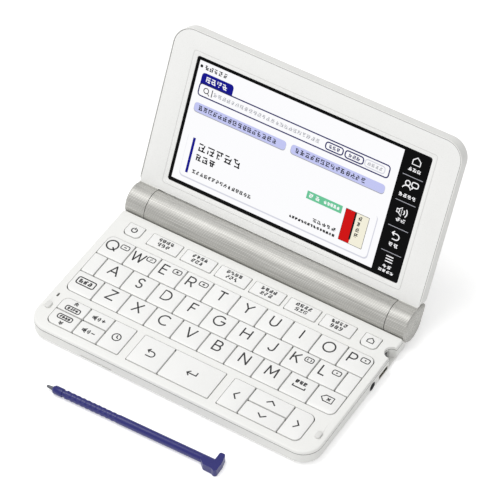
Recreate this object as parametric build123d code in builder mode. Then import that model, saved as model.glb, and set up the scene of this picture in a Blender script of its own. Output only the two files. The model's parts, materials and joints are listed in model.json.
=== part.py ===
from build123d import *
from math import cos, radians, sin, sqrt
import os

os.makedirs("parts", exist_ok=True)

# An electronic dictionary: a keyboard base, a battery barrel along its rear edge,
# and a lid with a wide touch display that turns on the barrel's axis.
# Millimetres. +X right, +Y rear, +Z up. The origin is on the table, under the
# middle of the closed case. The lid stands open and the stylus lies in front.

# ---------------------------------------------------------------- driving sizes
corner_radius = 9.5
rear_corner_radius = 1.2
wall = 1.4
rear_wall = 3.0              # behind the cavity, where the barrel's trough is cut
floor_wall = 1.0
deck_wall = 1.0
skirt_height = 1.8           # upper case edge below the deck
deck_edge_round = 0.9
underside_round = 2.0
seam_bevel = 0.2
foot_proud = 0.5
tail_reach = 2.0             # lower case under the barrel

cell_radius = 7.2
cell_length = 50.5
cell_nub_radius = 2.75
cell_nub = 1.2
cell_clearance = 0.15
contact_room = 4.1           # at each end of the pair of cells
contact_thickness = 0.4
spring_radius = 2.4

barrel_wall = 0.75
barrel_end = 8.6             # solid end that takes the hinge pin
barrel_lift = 0.85           # barrel above the table
barrel_gap = 0.4             # barrel to case and to lid
cap_length = 10.5
cap_seam = 0.3
cap_bevel = 0.6
pin_radius = 2.0
pin_clearance = 0.05
pin_fit = 0.02
pin_cover = 3.5              # cap's outer wall over the pin's end
cover_high = 1.4             # battery cover above the barrel's axis
cover_low = 6.9              # and below it
cover_gap = 0.15
cover_lap = 0.45             # bay beyond each end of its window

side_margin = 4.0            # deck beside the letter keys
rear_margin = 5.3            # deck between the barrel's trough and the function keys
function_length = 7.4
function_gap = 2.15
end_key_width = 8.4          # power and home keys
end_key_inset = 11.7         # side face to their middle
end_key_gap = 4.425          # to the dictionary keys
letters_gap = 3.74           # function keys to the letter keys
key_row_pitch = 12.65
lower_gap = 3.51             # letter keys to the lower keys
lower_length = 16.75
lower_split = 7.95           # rear half of the lower keys that are split
front_margin = 4.35
group_gap = 4.0              # between the three groups of lower keys
side_inset = 3.5             # left group in from the letter keys
page_width = 14.15
volume_width = 12.7
history_width = 11.65
back_width = 16.35
arrow_inset = 5.4            # right group in from the letter keys
arrow_outer_width = 10.95
arrow_middle_width = 19.9

key_gap = 0.36               # between neighbouring keys
key_proud = 0.4              # key tops above the deck
key_thickness = 2.0
key_travel = 0.5
key_edge = 0.3               # bevel round a key's top
key_corner = 0.4
key_slope_length = 2.2       # front strip of a letter key that falls away
key_slope_drop = 0.3
end_key_corner = 2.6         # front corners of the power and home keys
group_corner = 3.2           # outer corners of the key groups
opening_gap = 0.22           # keys to the deck's openings

lid_open_angle = 116.0       # from closed
lid_overhang = 1.0           # beyond the case's front edge
lid_thickness = 7.6
lid_key_clearance = 0.75     # closed bezel above the key tops
lid_wall = 1.4
lid_back_wall = 1.2
lid_back_round = 1.9
lid_foot_round = 3.2
rim_width = 0.4
bezel_thickness = 1.2
bezel_gap = 0.15
lid_setback = 0.15           # bezel face below the cover's rim

window_side_margin = 13.5
window_low = 14.9            # from the barrel's axis
window_top_margin = 11.2
window_corner = 1.2
window_slope = 1.7
window_slope_depth = 0.45
glass_margin = 3.4
glass_thickness = 1.0
glass_pocket = 0.4
panel_thickness = 2.2
panel_margin = 1.6

stylus_radius = 2.0
stylus_length = 88.8
stylus_clearance = 0.13
silo_wall = 0.3
silo_depth = 86.5
silo_forward = 0.5           # silo's axis in front of the function keys' middle
notch_radius = 3.4           # round inner end of the notch in the right side
notch_depth = 4.0            # side face to the silo's mouth
notch_wall = 1.0

board_standoff = 2.7         # floor to board
board_thickness = 1.0
board_margin = 8.0           # board in from the side face
mat_sheet = 0.7
strip_sheet = 0.24           # mat over the silo
press_gap = 0.1              # mat under a key that is fully down
pad_length = 4.0
pad_width = 2.4
screw_radius = 0.8
screw_head_radius = 1.6
screw_head = 0.7

# ---------------------------------------------------------------- derived places
bay_half = cell_length + contact_room
barrel_radius = cell_radius + cell_clearance + barrel_wall
trough_radius = barrel_radius + barrel_gap
centre_half = bay_half + barrel_end
half_width = centre_half + cap_seam + cap_length
case_width = 2 * half_width
pivot_x = half_width - cap_length / 2

letters_depth = 3 * key_row_pitch
hinge_to_front = (trough_radius + rear_margin + function_length + letters_gap + letters_depth
                  + lower_gap + lower_length + front_margin)
hinge_y = (hinge_to_front - barrel_radius) / 2
hinge_z = barrel_radius + barrel_lift
front_y = hinge_y - hinge_to_front
rear_y = hinge_y - trough_radius
tail_y = rear_y + tail_reach
cavity_rear_y = rear_y - rear_wall

function_rear_y = rear_y - rear_margin
function_front_y = function_rear_y - function_length
silo_y = (function_rear_y + function_front_y) / 2 - silo_forward
block_rear_y = function_front_y - letters_gap
block_front_y = block_rear_y - letters_depth
lower_rear_y = block_front_y - lower_gap
lower_mid_y = lower_rear_y - lower_split
lower_front_y = lower_rear_y - lower_length

# The case is as thick as its stack: floor, stylus silo, mat, key travel and keys.
underside_z = foot_proud
floor_z = underside_z + floor_wall
silo_bore = stylus_radius + stylus_clearance
silo_half = silo_bore + silo_wall
silo_z = floor_z + silo_half
silo_top_z = silo_z + silo_half
board_bottom_z = floor_z + board_standoff
board_top_z = board_bottom_z + board_thickness
mat_top_z = silo_top_z + strip_sheet
key_bottom_z = mat_top_z + press_gap + key_travel
key_top_z = key_bottom_z + key_thickness
deck_z = key_top_z - key_proud
deck_under_z = deck_z - deck_wall
seam_z = deck_z - skirt_height

block_half = half_width - side_margin
key_pitch = 2 * block_half / 10
end_key_x = half_width - end_key_inset
function_span = 2 * (end_key_x - end_key_width / 2 - end_key_gap)
function_width = (function_span - 5 * function_gap) / 6
function_pitch = function_width + function_gap

# Side, middle and arrow keys: the columns' edges from left to right.
page_x = side_inset - block_half
volume_x = page_x + page_width
history_x = volume_x + volume_width
side_end_x = history_x + history_width
back_x = side_end_x + group_gap
enter_x = back_x + back_width
arrow_end_x = block_half - arrow_inset
right_x = arrow_end_x - arrow_outer_width
up_x = right_x - arrow_middle_width
left_x = up_x - arrow_outer_width
enter_end_x = left_x - group_gap

silo_mouth_x = half_width - notch_depth
notch_centre_x = silo_mouth_x + notch_radius

lid_height = hinge_to_front + lid_overhang
lid_face_offset = key_top_z + lid_key_clearance - hinge_z
lid_angle = 180.0 - lid_open_angle
lid_normal = (0, -sin(radians(lid_angle)), cos(radians(lid_angle)))
lid_plane = Plane(origin=(0, hinge_y, hinge_z), x_dir=(1, 0, 0), z_dir=lid_normal)
lid_back_w = -lid_face_offset - lid_thickness
bezel_front_w = -lid_face_offset
bezel_back_w = bezel_front_w - bezel_thickness
glass_front_w = bezel_back_w + glass_pocket
glass_back_w = glass_front_w - glass_thickness
lid_foot = trough_radius + 0.05
lid_half = half_width
window_right = half_width - window_side_margin
window_left = -window_right
window_high = lid_height - window_top_margin

barrel_plane = Plane.YZ
bay_radius = barrel_radius - barrel_wall
window_half = bay_half - cover_lap


# ---------------------------------------------------------------- shared shapes
def plan(x0, x1, y0, y1, front_round, rear_round):
    """A rectangle in plan with one corner radius at its front and one at its rear."""
    with BuildSketch() as shape:
        with Locations(((x0 + x1) / 2, (y0 + y1) / 2)):
            Rectangle(x1 - x0, y1 - y0)
        fillet(shape.vertices().group_by(Axis.Y)[0], front_round)
        fillet(shape.vertices().group_by(Axis.Y)[-1], rear_round)
    return shape.sketch


def key_plan(x0, x1, y0, y1, grow, rounded=(), radius=group_corner):
    """A key's outline. rounded names the corners, such as 'front left', that turn widely."""
    with BuildSketch() as shape:
        with Locations(((x0 + x1) / 2, (y0 + y1) / 2)):
            Rectangle(x1 - x0 + 2 * grow, y1 - y0 + 2 * grow)
        sides = {"left": Axis.X, "right": Axis.X, "front": Axis.Y, "rear": Axis.Y}
        ends = {"left": 0, "right": -1, "front": 0, "rear": -1}
        wide = []
        for corner in rounded:
            fore, side = corner.split()
            row = shape.vertices().group_by(sides[fore])[ends[fore]]
            wide.append(row.sort_by(sides[side])[ends[side]])
        centres = [Vector(corner) for corner in wide]
        plain = [vertex for vertex in shape.vertices() if vertex not in wide]
        if plain:
            chamfer(plain, key_corner)
        if wide:
            left = [vertex for vertex in shape.vertices() if Vector(vertex) in centres]
            fillet(left, radius + grow)
    return shape.sketch


def rear_band(grow):
    """The battery cover's section: the barrel's wall behind the axis between two heights."""
    with BuildSketch() as band:
        with Locations((hinge_y, hinge_z)):
            Circle(barrel_radius)
            Circle(bay_radius, mode=Mode.SUBTRACT)
        with Locations((hinge_y + barrel_radius / 2, hinge_z + (cover_high - cover_low) / 2)):
            Rectangle(barrel_radius, cover_high + cover_low + 2 * grow, mode=Mode.INTERSECT)
    return band.sketch


def notch_plan(grow, outer_x):
    """The notch's outline: a round inner end and straight sides out to outer_x."""
    with BuildSketch() as shape:
        with Locations((notch_centre_x, silo_y)):
            Circle(notch_radius + grow)
        with Locations(((notch_centre_x + outer_x) / 2, silo_y)):
            Rectangle(outer_x - notch_centre_x, 2 * (notch_radius + grow))
        with Locations((outer_x - case_width / 2, silo_y)):
            Rectangle(case_width, case_width, mode=Mode.INTERSECT)
    return shape.sketch


def across(x):
    """The plane across the barrel at x."""
    return barrel_plane.offset(x)


def save(part, name):
    part.label = name
    export_step(part, f"parts/{name}.step")


# ---------------------------------------------------------------- key places
# Every key is (x0, x1, y0, y1) of its pitch cell, with its widely rounded corners.
row_y = [block_rear_y - row * key_row_pitch for row in range(4)]


def block_cell(column, row, rounded=()):
    x0 = -block_half + column * key_pitch
    return (x0, x0 + key_pitch, row_y[row + 1], row_y[row], rounded)


letter_keys = {}
for column, letter in enumerate("qwertyuiop"):
    letter_keys[f"key_{letter}"] = block_cell(column, 0)
for column, letter in enumerate("asdfghjkl"):
    letter_keys[f"key_{letter}"] = block_cell(column + 0.5, 1)
for column, letter in enumerate("zxcvbnm"):
    letter_keys[f"key_{letter}"] = block_cell(column + 1, 2)
letter_keys["key_q"] = block_cell(0, 0, ("rear left",))
letter_keys["key_p"] = block_cell(9, 0, ("rear right",))
letter_keys["key_shift"] = block_cell(0, 2, ("front left",))
letter_keys["key_space"] = block_cell(8, 2)
letter_keys["key_delete"] = block_cell(9, 2, ("front right",))

blank_cells = [
    (-block_half, -block_half + key_pitch / 2, row_y[2], row_y[1], ()),
    (block_half - key_pitch / 2, block_half, row_y[2], row_y[1], ()),
]


def function_cell(x, width, rounded=()):
    """A separate key in the row behind the letters; the gap is outside its cell."""
    grow = key_gap / 2
    return (x - width / 2 - grow, x + width / 2 + grow,
            function_front_y - grow, function_rear_y + grow, rounded)


dictionary_cells = [function_cell((n - 2.5) * function_pitch, function_width) for n in range(6)]
end_rounded = ("front left", "front right")
power_cell = function_cell(-end_key_x, end_key_width, end_rounded)
home_cell = function_cell(end_key_x, end_key_width, end_rounded)

side_cells = [
    (page_x, volume_x, lower_mid_y, lower_rear_y, ("rear left",)),
    (page_x, volume_x, lower_front_y, lower_mid_y, ("front left",)),
    (volume_x, history_x, lower_mid_y, lower_rear_y, ()),
    (volume_x, history_x, lower_front_y, lower_mid_y, ()),
    (history_x, side_end_x, lower_front_y, lower_rear_y, ()),
]
back_cell = (back_x, enter_x, lower_front_y, lower_rear_y, ())
enter_cell = (enter_x, enter_end_x, lower_front_y, lower_rear_y, ())
arrow_cells = [
    (left_x, up_x, lower_front_y, lower_rear_y, ()),
    (up_x, right_x, lower_mid_y, lower_rear_y, ()),
    (up_x, right_x, lower_front_y, lower_mid_y, ()),
    (right_x, arrow_end_x, lower_front_y, lower_rear_y, ("front right", "rear right")),
]

key_groups = {name: [cell] for name, cell in letter_keys.items()}
key_groups["power_key"] = [power_cell]
key_groups["home_key"] = [home_cell]
key_groups["dictionary_keys"] = dictionary_cells
key_groups["side_keys"] = side_cells
key_groups["back_key"] = [back_cell]
key_groups["enter_key"] = [enter_cell]
key_groups["arrow_keys"] = arrow_cells

function_cells = [power_cell, home_cell] + dictionary_cells
all_cells = [cell for cells in key_groups.values() for cell in cells]


def pad_place(cell):
    """The middle of a key, where the mat's pad meets it."""
    x0, x1, y0, y1, _ = cell
    return ((x0 + x1) / 2, (y0 + y1) / 2)


def corner_of(cells):
    """The radius at a key's wide corners."""
    return end_key_corner if cells[0] in (power_cell, home_cell) else group_corner


# ---------------------------------------------------------------- keys
for name, cells in key_groups.items():
    outlines = [key_plan(*cell[:4], -key_gap / 2, cell[4], corner_of(cells)) for cell in cells]
    with BuildPart() as key:
        with BuildSketch(Plane.XY.offset(key_bottom_z)):
            for outline in outlines:
                add(outline)
        extrude(amount=key_thickness)
        chamfer(key.faces().group_by(Axis.Z)[-1].edges(), key_edge)
        if name in letter_keys:
            # The front strip falls away, so that a finger feels where the row starts.
            x0, x1, y0, y1, _ = cells[0]
            front = y0 + key_gap / 2
            with BuildSketch(Plane.YZ.offset(x0)):
                with BuildLine():
                    Polyline((front, key_top_z - key_slope_drop), (front + key_slope_length, key_top_z),
                             (front, key_top_z), close=True)
                make_face()
            extrude(amount=x1 - x0, mode=Mode.SUBTRACT)
    save(key.part, name)


# ---------------------------------------------------------------- lower case
case_plan = plan(-half_width, half_width, front_y, tail_y, corner_radius, rear_corner_radius)
cavity_plan = plan(-half_width + wall, half_width - wall, front_y + wall, cavity_rear_y,
                   corner_radius - wall, 0.8)
front_screw_inset = 5.55
rear_screw_inset = 4.4
front_screw_x = half_width - front_screw_inset
front_screw_y = front_y + front_screw_inset
rear_screw_x = half_width - rear_screw_inset
rear_screw_y = (cavity_rear_y + rear_y) / 2
board_half = half_width - board_margin
board_front_y = lower_front_y - 0.85
board_rear_y = block_rear_y + 0.94
boss_radius = 1.8
boss_height = 3.5
boss_split_z = floor_z + boss_height
boss_sides = 8
board_rib_margin = 6.0
board_rib_xs = (board_rib_margin - board_half, board_half - board_rib_margin)
board_rib_inset = 2.5
screw_places = [(-front_screw_x, front_screw_y), (front_screw_x, front_screw_y),
                (-rear_screw_x, rear_screw_y), (rear_screw_x, rear_screw_y)]

flange_lift = 1.5            # floor to the barrel's flange
flange_thickness = 1.2
flange_low_z = floor_z + flange_lift
flange_high_z = flange_low_z + flange_thickness
flange_end = 7.2             # flange short of the barrel's end
flange_reach = 3.5           # into the case
flange_screw_inset = 19.2
flange_half = centre_half - flange_end
flange_front_y = cavity_rear_y - flange_reach
flange_screw_x = centre_half - flange_screw_inset
flange_screw_y = cavity_rear_y - 1.5
flange_screw_places = [(-flange_screw_x, flange_screw_y), (flange_screw_x, flange_screw_y)]

usb_forward = 8.0            # in front of the stylus silo
jack_forward = 9.5           # in front of the USB port
usb_y = silo_y - usb_forward
usb_z = floor_z + 2.1
usb_width = 7.6
usb_height = 2.6
usb_length = 6.8
jack_y = usb_y - jack_forward
jack_z = floor_z + 2.3
jack_bore = 1.75
jack_collar = 2.3
jack_length = 12.8
jack_half = 2.6
jack_top_z = jack_z + jack_collar
first_slit = 28.8            # left side face to the speaker's slits
slit_pitches = (5.5, 6.3, 5.2)
slit_gap = 0.5
slit_height = 0.5
slit_z = floor_z + 1.4
slits_x = first_slit - half_width
speaker_x = slits_x + sum(slit_pitches) / 2
speaker_width = 18.0
speaker_depth = 9.0
speaker_height = 2.6
rib_half = 0.6

foot_length = 9.0
foot_width = 2.6
foot_pocket = 0.5
front_foot_inset = 18.0
front_foot_back = 7.0
rear_foot_inset = 29.0
front_feet = [(side * (half_width - front_foot_inset), front_y + front_foot_back) for side in (-1, 1)]
rear_feet = [(side * (half_width - rear_foot_inset), hinge_y) for side in (-1, 1)]

with BuildPart() as lower_case:
    with BuildSketch(Plane.XY.offset(underside_z)):
        add(case_plan)
    extrude(amount=seam_z - underside_z)
    fillet(lower_case.faces().sort_by(Axis.Z)[0].edges(), underside_round)
    # The barrel's trough, and the clear space above the tail.
    with BuildSketch(across(-half_width)):
        with Locations((hinge_y, hinge_z)):
            Circle(trough_radius)
    extrude(amount=case_width, mode=Mode.SUBTRACT)
    seam_edges = lower_case.faces().sort_by(Axis.Z)[-1].edges().filter_by_position(
        Axis.Y, front_y - 1, rear_y - 1)
    chamfer(seam_edges, seam_bevel)
    with BuildSketch(Plane.XY.offset(floor_z)):
        add(cavity_plan)
    extrude(amount=seam_z - floor_z, mode=Mode.SUBTRACT)
    # Bosses for the case screws and the barrel's flange.
    with BuildSketch(Plane.XY.offset(floor_z)):
        with Locations(*screw_places[:2]):
            RegularPolygon(boss_radius, boss_sides)
    extrude(amount=boss_split_z - floor_z)
    with BuildSketch(Plane.XY.offset(floor_z)):
        with Locations(*flange_screw_places):
            RegularPolygon(boss_radius, boss_sides)
    extrude(amount=flange_low_z - floor_z)
    # Two ribs carry the board.
    with BuildSketch(Plane.XY.offset(floor_z)):
        with Locations(*[(x, (board_front_y + board_rear_y) / 2) for x in board_rib_xs]):
            Rectangle(2 * rib_half, board_rear_y - board_front_y - 2 * board_rib_inset)
    extrude(amount=board_bottom_z - floor_z)
    # A rib carries the mat's rear strip where the silo doesn't.
    with BuildSketch(Plane.XY.offset(floor_z)):
        with Locations(((silo_mouth_x - silo_depth - 3.0 - half_width + wall) / 2, silo_y)):
            Rectangle(silo_mouth_x - silo_depth - 3.0 + half_width - wall, 2 * rib_half)
    extrude(amount=silo_top_z - floor_z)
    # The slot that takes the barrel's flange through the rear wall.
    with BuildSketch(Plane.XY.offset(flange_low_z)):
        with Locations((0, (cavity_rear_y - 1.0 + hinge_y) / 2)):
            Rectangle(2 * flange_half + 0.2, hinge_y - cavity_rear_y + 1.0)
    extrude(amount=flange_high_z - flange_low_z + 0.05, mode=Mode.SUBTRACT)
    # The notch at the silo's mouth, with a wall round it.
    with BuildSketch(Plane.XY.offset(floor_z)):
        add(notch_plan(notch_wall, half_width - notch_wall))
    extrude(amount=seam_z - floor_z)
    with BuildSketch(Plane.XY.offset(floor_z)):
        add(notch_plan(0, half_width + 1.0))
    extrude(amount=seam_z - floor_z, mode=Mode.SUBTRACT)
    with BuildSketch(Plane.YZ.offset(silo_mouth_x - notch_wall - 1.0)):
        with Locations((silo_y, silo_z)):
            Rectangle(2 * silo_half, 2 * silo_half)
    extrude(amount=notch_wall + 2.0, mode=Mode.SUBTRACT)
    # USB port, headphone jack and speaker slits.
    with BuildSketch(Plane.YZ.offset(half_width - wall - 1.0)):
        with Locations((usb_y, usb_z)):
            RectangleRounded(usb_width + 0.1, usb_height + 0.1, 0.65)
        with Locations((jack_y, jack_z)):
            Circle(jack_collar + 0.05)
    extrude(amount=wall + 2.0, mode=Mode.SUBTRACT)
    with BuildSketch(Plane.XZ.offset(-front_y - wall - 1.0)):
        for n, pitch in enumerate(slit_pitches):
            with Locations((slits_x + sum(slit_pitches[:n]) + pitch / 2, slit_z)):
                Rectangle(pitch - slit_gap, slit_height)
    extrude(amount=wall + 2.0, mode=Mode.SUBTRACT)
    # Pockets for the front feet, and the screw holes.
    with BuildSketch(Plane.XY.offset(underside_z)):
        with Locations(*front_feet):
            SlotOverall(foot_length, foot_width)
    extrude(amount=foot_pocket, mode=Mode.SUBTRACT)
    with BuildSketch(Plane.XY.offset(underside_z)):
        with Locations(*screw_places, *flange_screw_places):
            Circle(screw_head_radius + 0.1)
    extrude(amount=screw_head, mode=Mode.SUBTRACT)
    with BuildSketch(Plane.XY.offset(underside_z)):
        with Locations(*screw_places, *flange_screw_places):
            Circle(screw_radius + 0.05)
    extrude(amount=seam_z - underside_z, mode=Mode.SUBTRACT)
save(lower_case.part, "lower_case")


# ---------------------------------------------------------------- upper case
upper_plan = plan(-half_width, half_width, front_y, rear_y, corner_radius, rear_corner_radius)
upper_inside = plan(-half_width + wall, half_width - wall, front_y + wall, cavity_rear_y,
                    corner_radius - wall, 0.8)
bumper_inset = 3.9
bumper_x = half_width - bumper_inset
bumper_y = lower_mid_y - 0.45
bumper_length = 4.0
bumper_width = 2.6
bumper_pocket = 0.5
mic_inset = 4.0
mic_x = mic_inset - half_width
mic_y = lower_rear_y - 1.0
mic_length = 2.4
mic_width = 1.0

# The openings are the key groups' outlines, grown by the gap around them.
block_opening = key_plan(-block_half, block_half, block_front_y, block_rear_y, opening_gap - key_gap / 2,
                         ("front left", "front right", "rear left", "rear right"))
side_opening = key_plan(page_x, side_end_x, lower_front_y, lower_rear_y, opening_gap - key_gap / 2,
                        ("front left", "rear left"))
middle_opening = key_plan(back_x, enter_end_x, lower_front_y, lower_rear_y, opening_gap - key_gap / 2)
arrow_opening = key_plan(left_x, arrow_end_x, lower_front_y, lower_rear_y, opening_gap - key_gap / 2,
                         ("front right", "rear right"))
function_openings = [key_plan(*cell[:4], opening_gap - key_gap / 2, cell[4], end_key_corner)
                     for cell in function_cells]

with BuildPart() as upper_case:
    with BuildSketch(Plane.XY.offset(seam_z)):
        add(upper_plan)
    extrude(amount=deck_z - seam_z)
    with BuildSketch(Plane.XY.offset(seam_z)):
        add(upper_inside)
    extrude(amount=deck_under_z - seam_z, mode=Mode.SUBTRACT)
    rim_edges = upper_case.faces().sort_by(Axis.Z)[-1].edges().filter_by_position(
        Axis.Y, front_y - 1, rear_y - 1)
    fillet(rim_edges, deck_edge_round)
    for opening in [block_opening, side_opening, middle_opening, arrow_opening] + function_openings:
        with BuildSketch(Plane.XY.offset(seam_z)):
            add(opening)
        extrude(amount=deck_z - seam_z, mode=Mode.SUBTRACT)
    with BuildSketch(Plane.XY.offset(seam_z)):
        add(notch_plan(notch_wall, half_width - notch_wall))
    extrude(amount=deck_under_z - seam_z)
    with BuildSketch(Plane.XY.offset(seam_z)):
        add(notch_plan(0, half_width + 1.0))
    extrude(amount=deck_z - seam_z, mode=Mode.SUBTRACT)
    with BuildSketch(Plane.XY.offset(boss_split_z)):
        with Locations(*screw_places[:2]):
            RegularPolygon(boss_radius, boss_sides)
    extrude(amount=deck_under_z - boss_split_z)
    with BuildSketch(Plane.XY.offset(boss_split_z)):
        with Locations(*screw_places):
            Circle(screw_radius)
    extrude(amount=deck_under_z - boss_split_z, mode=Mode.SUBTRACT)
    with BuildSketch(Plane.XY.offset(deck_z - bumper_pocket)):
        with Locations((-bumper_x, bumper_y), (bumper_x, bumper_y)):
            SlotOverall(bumper_length, bumper_width, rotation=90)
    extrude(amount=bumper_pocket, mode=Mode.SUBTRACT)
    with BuildSketch(Plane.XY.offset(deck_under_z)):
        with Locations((mic_x, mic_y)):
            SlotOverall(mic_length, mic_width, rotation=90)
    extrude(amount=deck_wall, mode=Mode.SUBTRACT)
save(upper_case.part, "upper_case")


# ---------------------------------------------------------------- inside the base
strip_half = 2.6


def board_plan(inset):
    """The board's outline, cut out round the headphone jack."""
    with BuildSketch() as shape:
        with Locations((0, (board_front_y + board_rear_y) / 2)):
            Rectangle(2 * (board_half - inset), board_rear_y - board_front_y - 2 * inset)
        with Locations((board_half, jack_y)):
            Rectangle(2 * (board_half - half_width + jack_length + wall + inset),
                      2 * (jack_half + 0.4 + inset), mode=Mode.SUBTRACT)
    return shape.sketch


with BuildPart() as blank_keys:
    with BuildSketch(Plane.XY.offset(key_bottom_z)):
        for cell in blank_cells:
            add(key_plan(*cell[:4], -key_gap / 2))
    extrude(amount=key_thickness)
    chamfer(blank_keys.faces().group_by(Axis.Z)[-1].edges(), key_edge)
    # Short feet stand them on the mat's sheet.
    with BuildSketch(Plane.XY.offset(board_top_z + mat_sheet)):
        with Locations(*[pad_place(cell) for cell in blank_cells]):
            Rectangle(pad_width, pad_length)
    extrude(amount=key_bottom_z - board_top_z - mat_sheet)
save(blank_keys.part, "blank_keys")

with BuildPart() as key_mat:
    with BuildSketch(Plane.XY.offset(board_top_z)):
        add(board_plan(0.0))
    extrude(amount=mat_sheet)
    with BuildSketch(Plane.XY.offset(board_top_z + mat_sheet)):
        with Locations(*[pad_place(cell) for cell in all_cells if cell not in function_cells]):
            Rectangle(pad_length, pad_width)
    extrude(amount=mat_top_z - board_top_z - mat_sheet)
    # The thin strip under the function keys lies on the silo.
    with BuildSketch(Plane.XY.offset(silo_top_z)):
        with Locations((0, silo_y)):
            Rectangle(2 * board_half, 2 * strip_half)
    extrude(amount=mat_top_z - silo_top_z)
save(key_mat.part, "key_mat")

chip_height = 1.1
chip_side = 15.0
power_chip_width = 9.0
power_chip_depth = 12.0
chip_back = 22.7             # board's rear edge to the row of chips
chip_inset = 37.0
power_chip_inset = 22.0
power_chip_drop = 17.0
chip_row_y = board_rear_y - chip_back
chip_x = board_half - chip_inset
power_chip_x = board_half - power_chip_inset
power_chip_y = chip_row_y - power_chip_drop
with BuildPart() as main_board:
    with BuildSketch(Plane.XY.offset(board_bottom_z)):
        add(board_plan(0.0))
    extrude(amount=board_thickness)
    # Processor, memory and power parts on the underside.
    with BuildSketch(Plane.XY.offset(board_bottom_z - chip_height)):
        with Locations((chip_x, chip_row_y), (-chip_x, chip_row_y)):
            Rectangle(chip_side, chip_side)
        with Locations((power_chip_x, power_chip_y)):
            Rectangle(power_chip_width, power_chip_depth)
    extrude(amount=chip_height)
save(main_board.part, "main_board")

with BuildPart() as stylus_silo:
    with BuildSketch(Plane.YZ.offset(silo_mouth_x)):
        with Locations((silo_y, silo_z)):
            Rectangle(2 * silo_half, 2 * silo_half)
    extrude(amount=-(silo_depth + 1.5))
    with BuildSketch(Plane.YZ.offset(silo_mouth_x)):
        with Locations((silo_y, silo_z)):
            Circle(silo_bore)
    extrude(amount=-silo_depth, mode=Mode.SUBTRACT)
save(stylus_silo.part, "stylus_silo")

usb_face_x = half_width - 0.25
usb_shell = 0.35
usb_back = 0.8
tongue_width = 5.0
tongue_thickness = 0.6
with BuildPart() as usb_port:
    with BuildSketch(Plane.YZ.offset(usb_face_x)):
        with Locations((usb_y, usb_z)):
            RectangleRounded(usb_width, usb_height, 0.6)
    extrude(amount=-usb_length)
    with BuildSketch(Plane.YZ.offset(usb_face_x)):
        with Locations((usb_y, usb_z)):
            RectangleRounded(usb_width - 2 * usb_shell, usb_height - 2 * usb_shell, 0.35)
    extrude(amount=usb_back - usb_length, mode=Mode.SUBTRACT)
    with BuildSketch(Plane.YZ.offset(usb_face_x - usb_length + usb_back / 2)):
        with Locations((usb_y, usb_z + 0.1)):
            Rectangle(tongue_width, tongue_thickness)
    extrude(amount=usb_length - 1.5 * usb_back)
save(usb_port.part, "usb_port")

jack_face_x = half_width - 0.1
jack_body_x = half_width - wall - 0.05
with BuildPart() as headphone_jack:
    with BuildSketch(Plane.YZ.offset(jack_body_x)):
        with Locations((jack_y, (floor_z + jack_top_z) / 2)):
            Rectangle(2 * jack_half, jack_top_z - floor_z)
    extrude(amount=wall - jack_length)
    with BuildSketch(Plane.YZ.offset(jack_face_x)):
        with Locations((jack_y, jack_z)):
            Circle(jack_collar)
    extrude(amount=jack_body_x - jack_face_x)
    with BuildSketch(Plane.YZ.offset(jack_face_x)):
        with Locations((jack_y, jack_z)):
            Circle(jack_bore)
    extrude(amount=1.0 - jack_length, mode=Mode.SUBTRACT)
save(headphone_jack.part, "headphone_jack")

speaker_y = front_y + wall + speaker_depth / 2
with BuildPart() as speaker:
    with BuildSketch(Plane.XY.offset(floor_z)):
        with Locations((speaker_x, speaker_y)):
            Rectangle(speaker_width, speaker_depth)
    extrude(amount=speaker_height)
save(speaker.part, "speaker")

with BuildPart() as rubber_feet:
    with BuildSketch():
        with Locations(*front_feet):
            SlotOverall(foot_length - 0.1, foot_width - 0.1)
    extrude(amount=foot_proud + foot_pocket)
    with BuildSketch():
        with Locations(*rear_feet):
            SlotOverall(foot_length - 0.1, foot_width - 0.1)
    extrude(amount=hinge_z)
    with BuildSketch(across(-half_width)):
        with Locations((hinge_y, hinge_z)):
            Circle(barrel_radius)
    extrude(amount=case_width, mode=Mode.SUBTRACT)
save(rubber_feet.part, "rubber_feet")

lid_closed_face_z = hinge_z + lid_face_offset
with BuildPart() as lid_bumpers:
    with BuildSketch(Plane.XY.offset(deck_z - bumper_pocket)):
        with Locations((-bumper_x, bumper_y), (bumper_x, bumper_y)):
            SlotOverall(bumper_length - 0.1, bumper_width - 0.1, rotation=90)
    extrude(amount=lid_closed_face_z - 0.1 - deck_z + bumper_pocket)
    chamfer(lid_bumpers.faces().group_by(Axis.Z)[-1].edges(), 0.35)
save(lid_bumpers.part, "lid_bumpers")

screw_tops = {place: deck_under_z - 0.5 for place in screw_places}
screw_tops.update({place: flange_high_z for place in flange_screw_places})
with BuildPart() as case_screws:
    for (x, y), top in screw_tops.items():
        with BuildSketch(Plane.XY.offset(underside_z + 0.05)):
            with Locations((x, y)):
                Circle(screw_head_radius)
        extrude(amount=screw_head - 0.05)
        with BuildSketch(Plane.XY.offset(underside_z + screw_head)):
            with Locations((x, y)):
                RegularPolygon(screw_radius - 0.02, boss_sides)
        extrude(amount=top - underside_z - screw_head)
save(case_screws.part, "case_screws")


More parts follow.
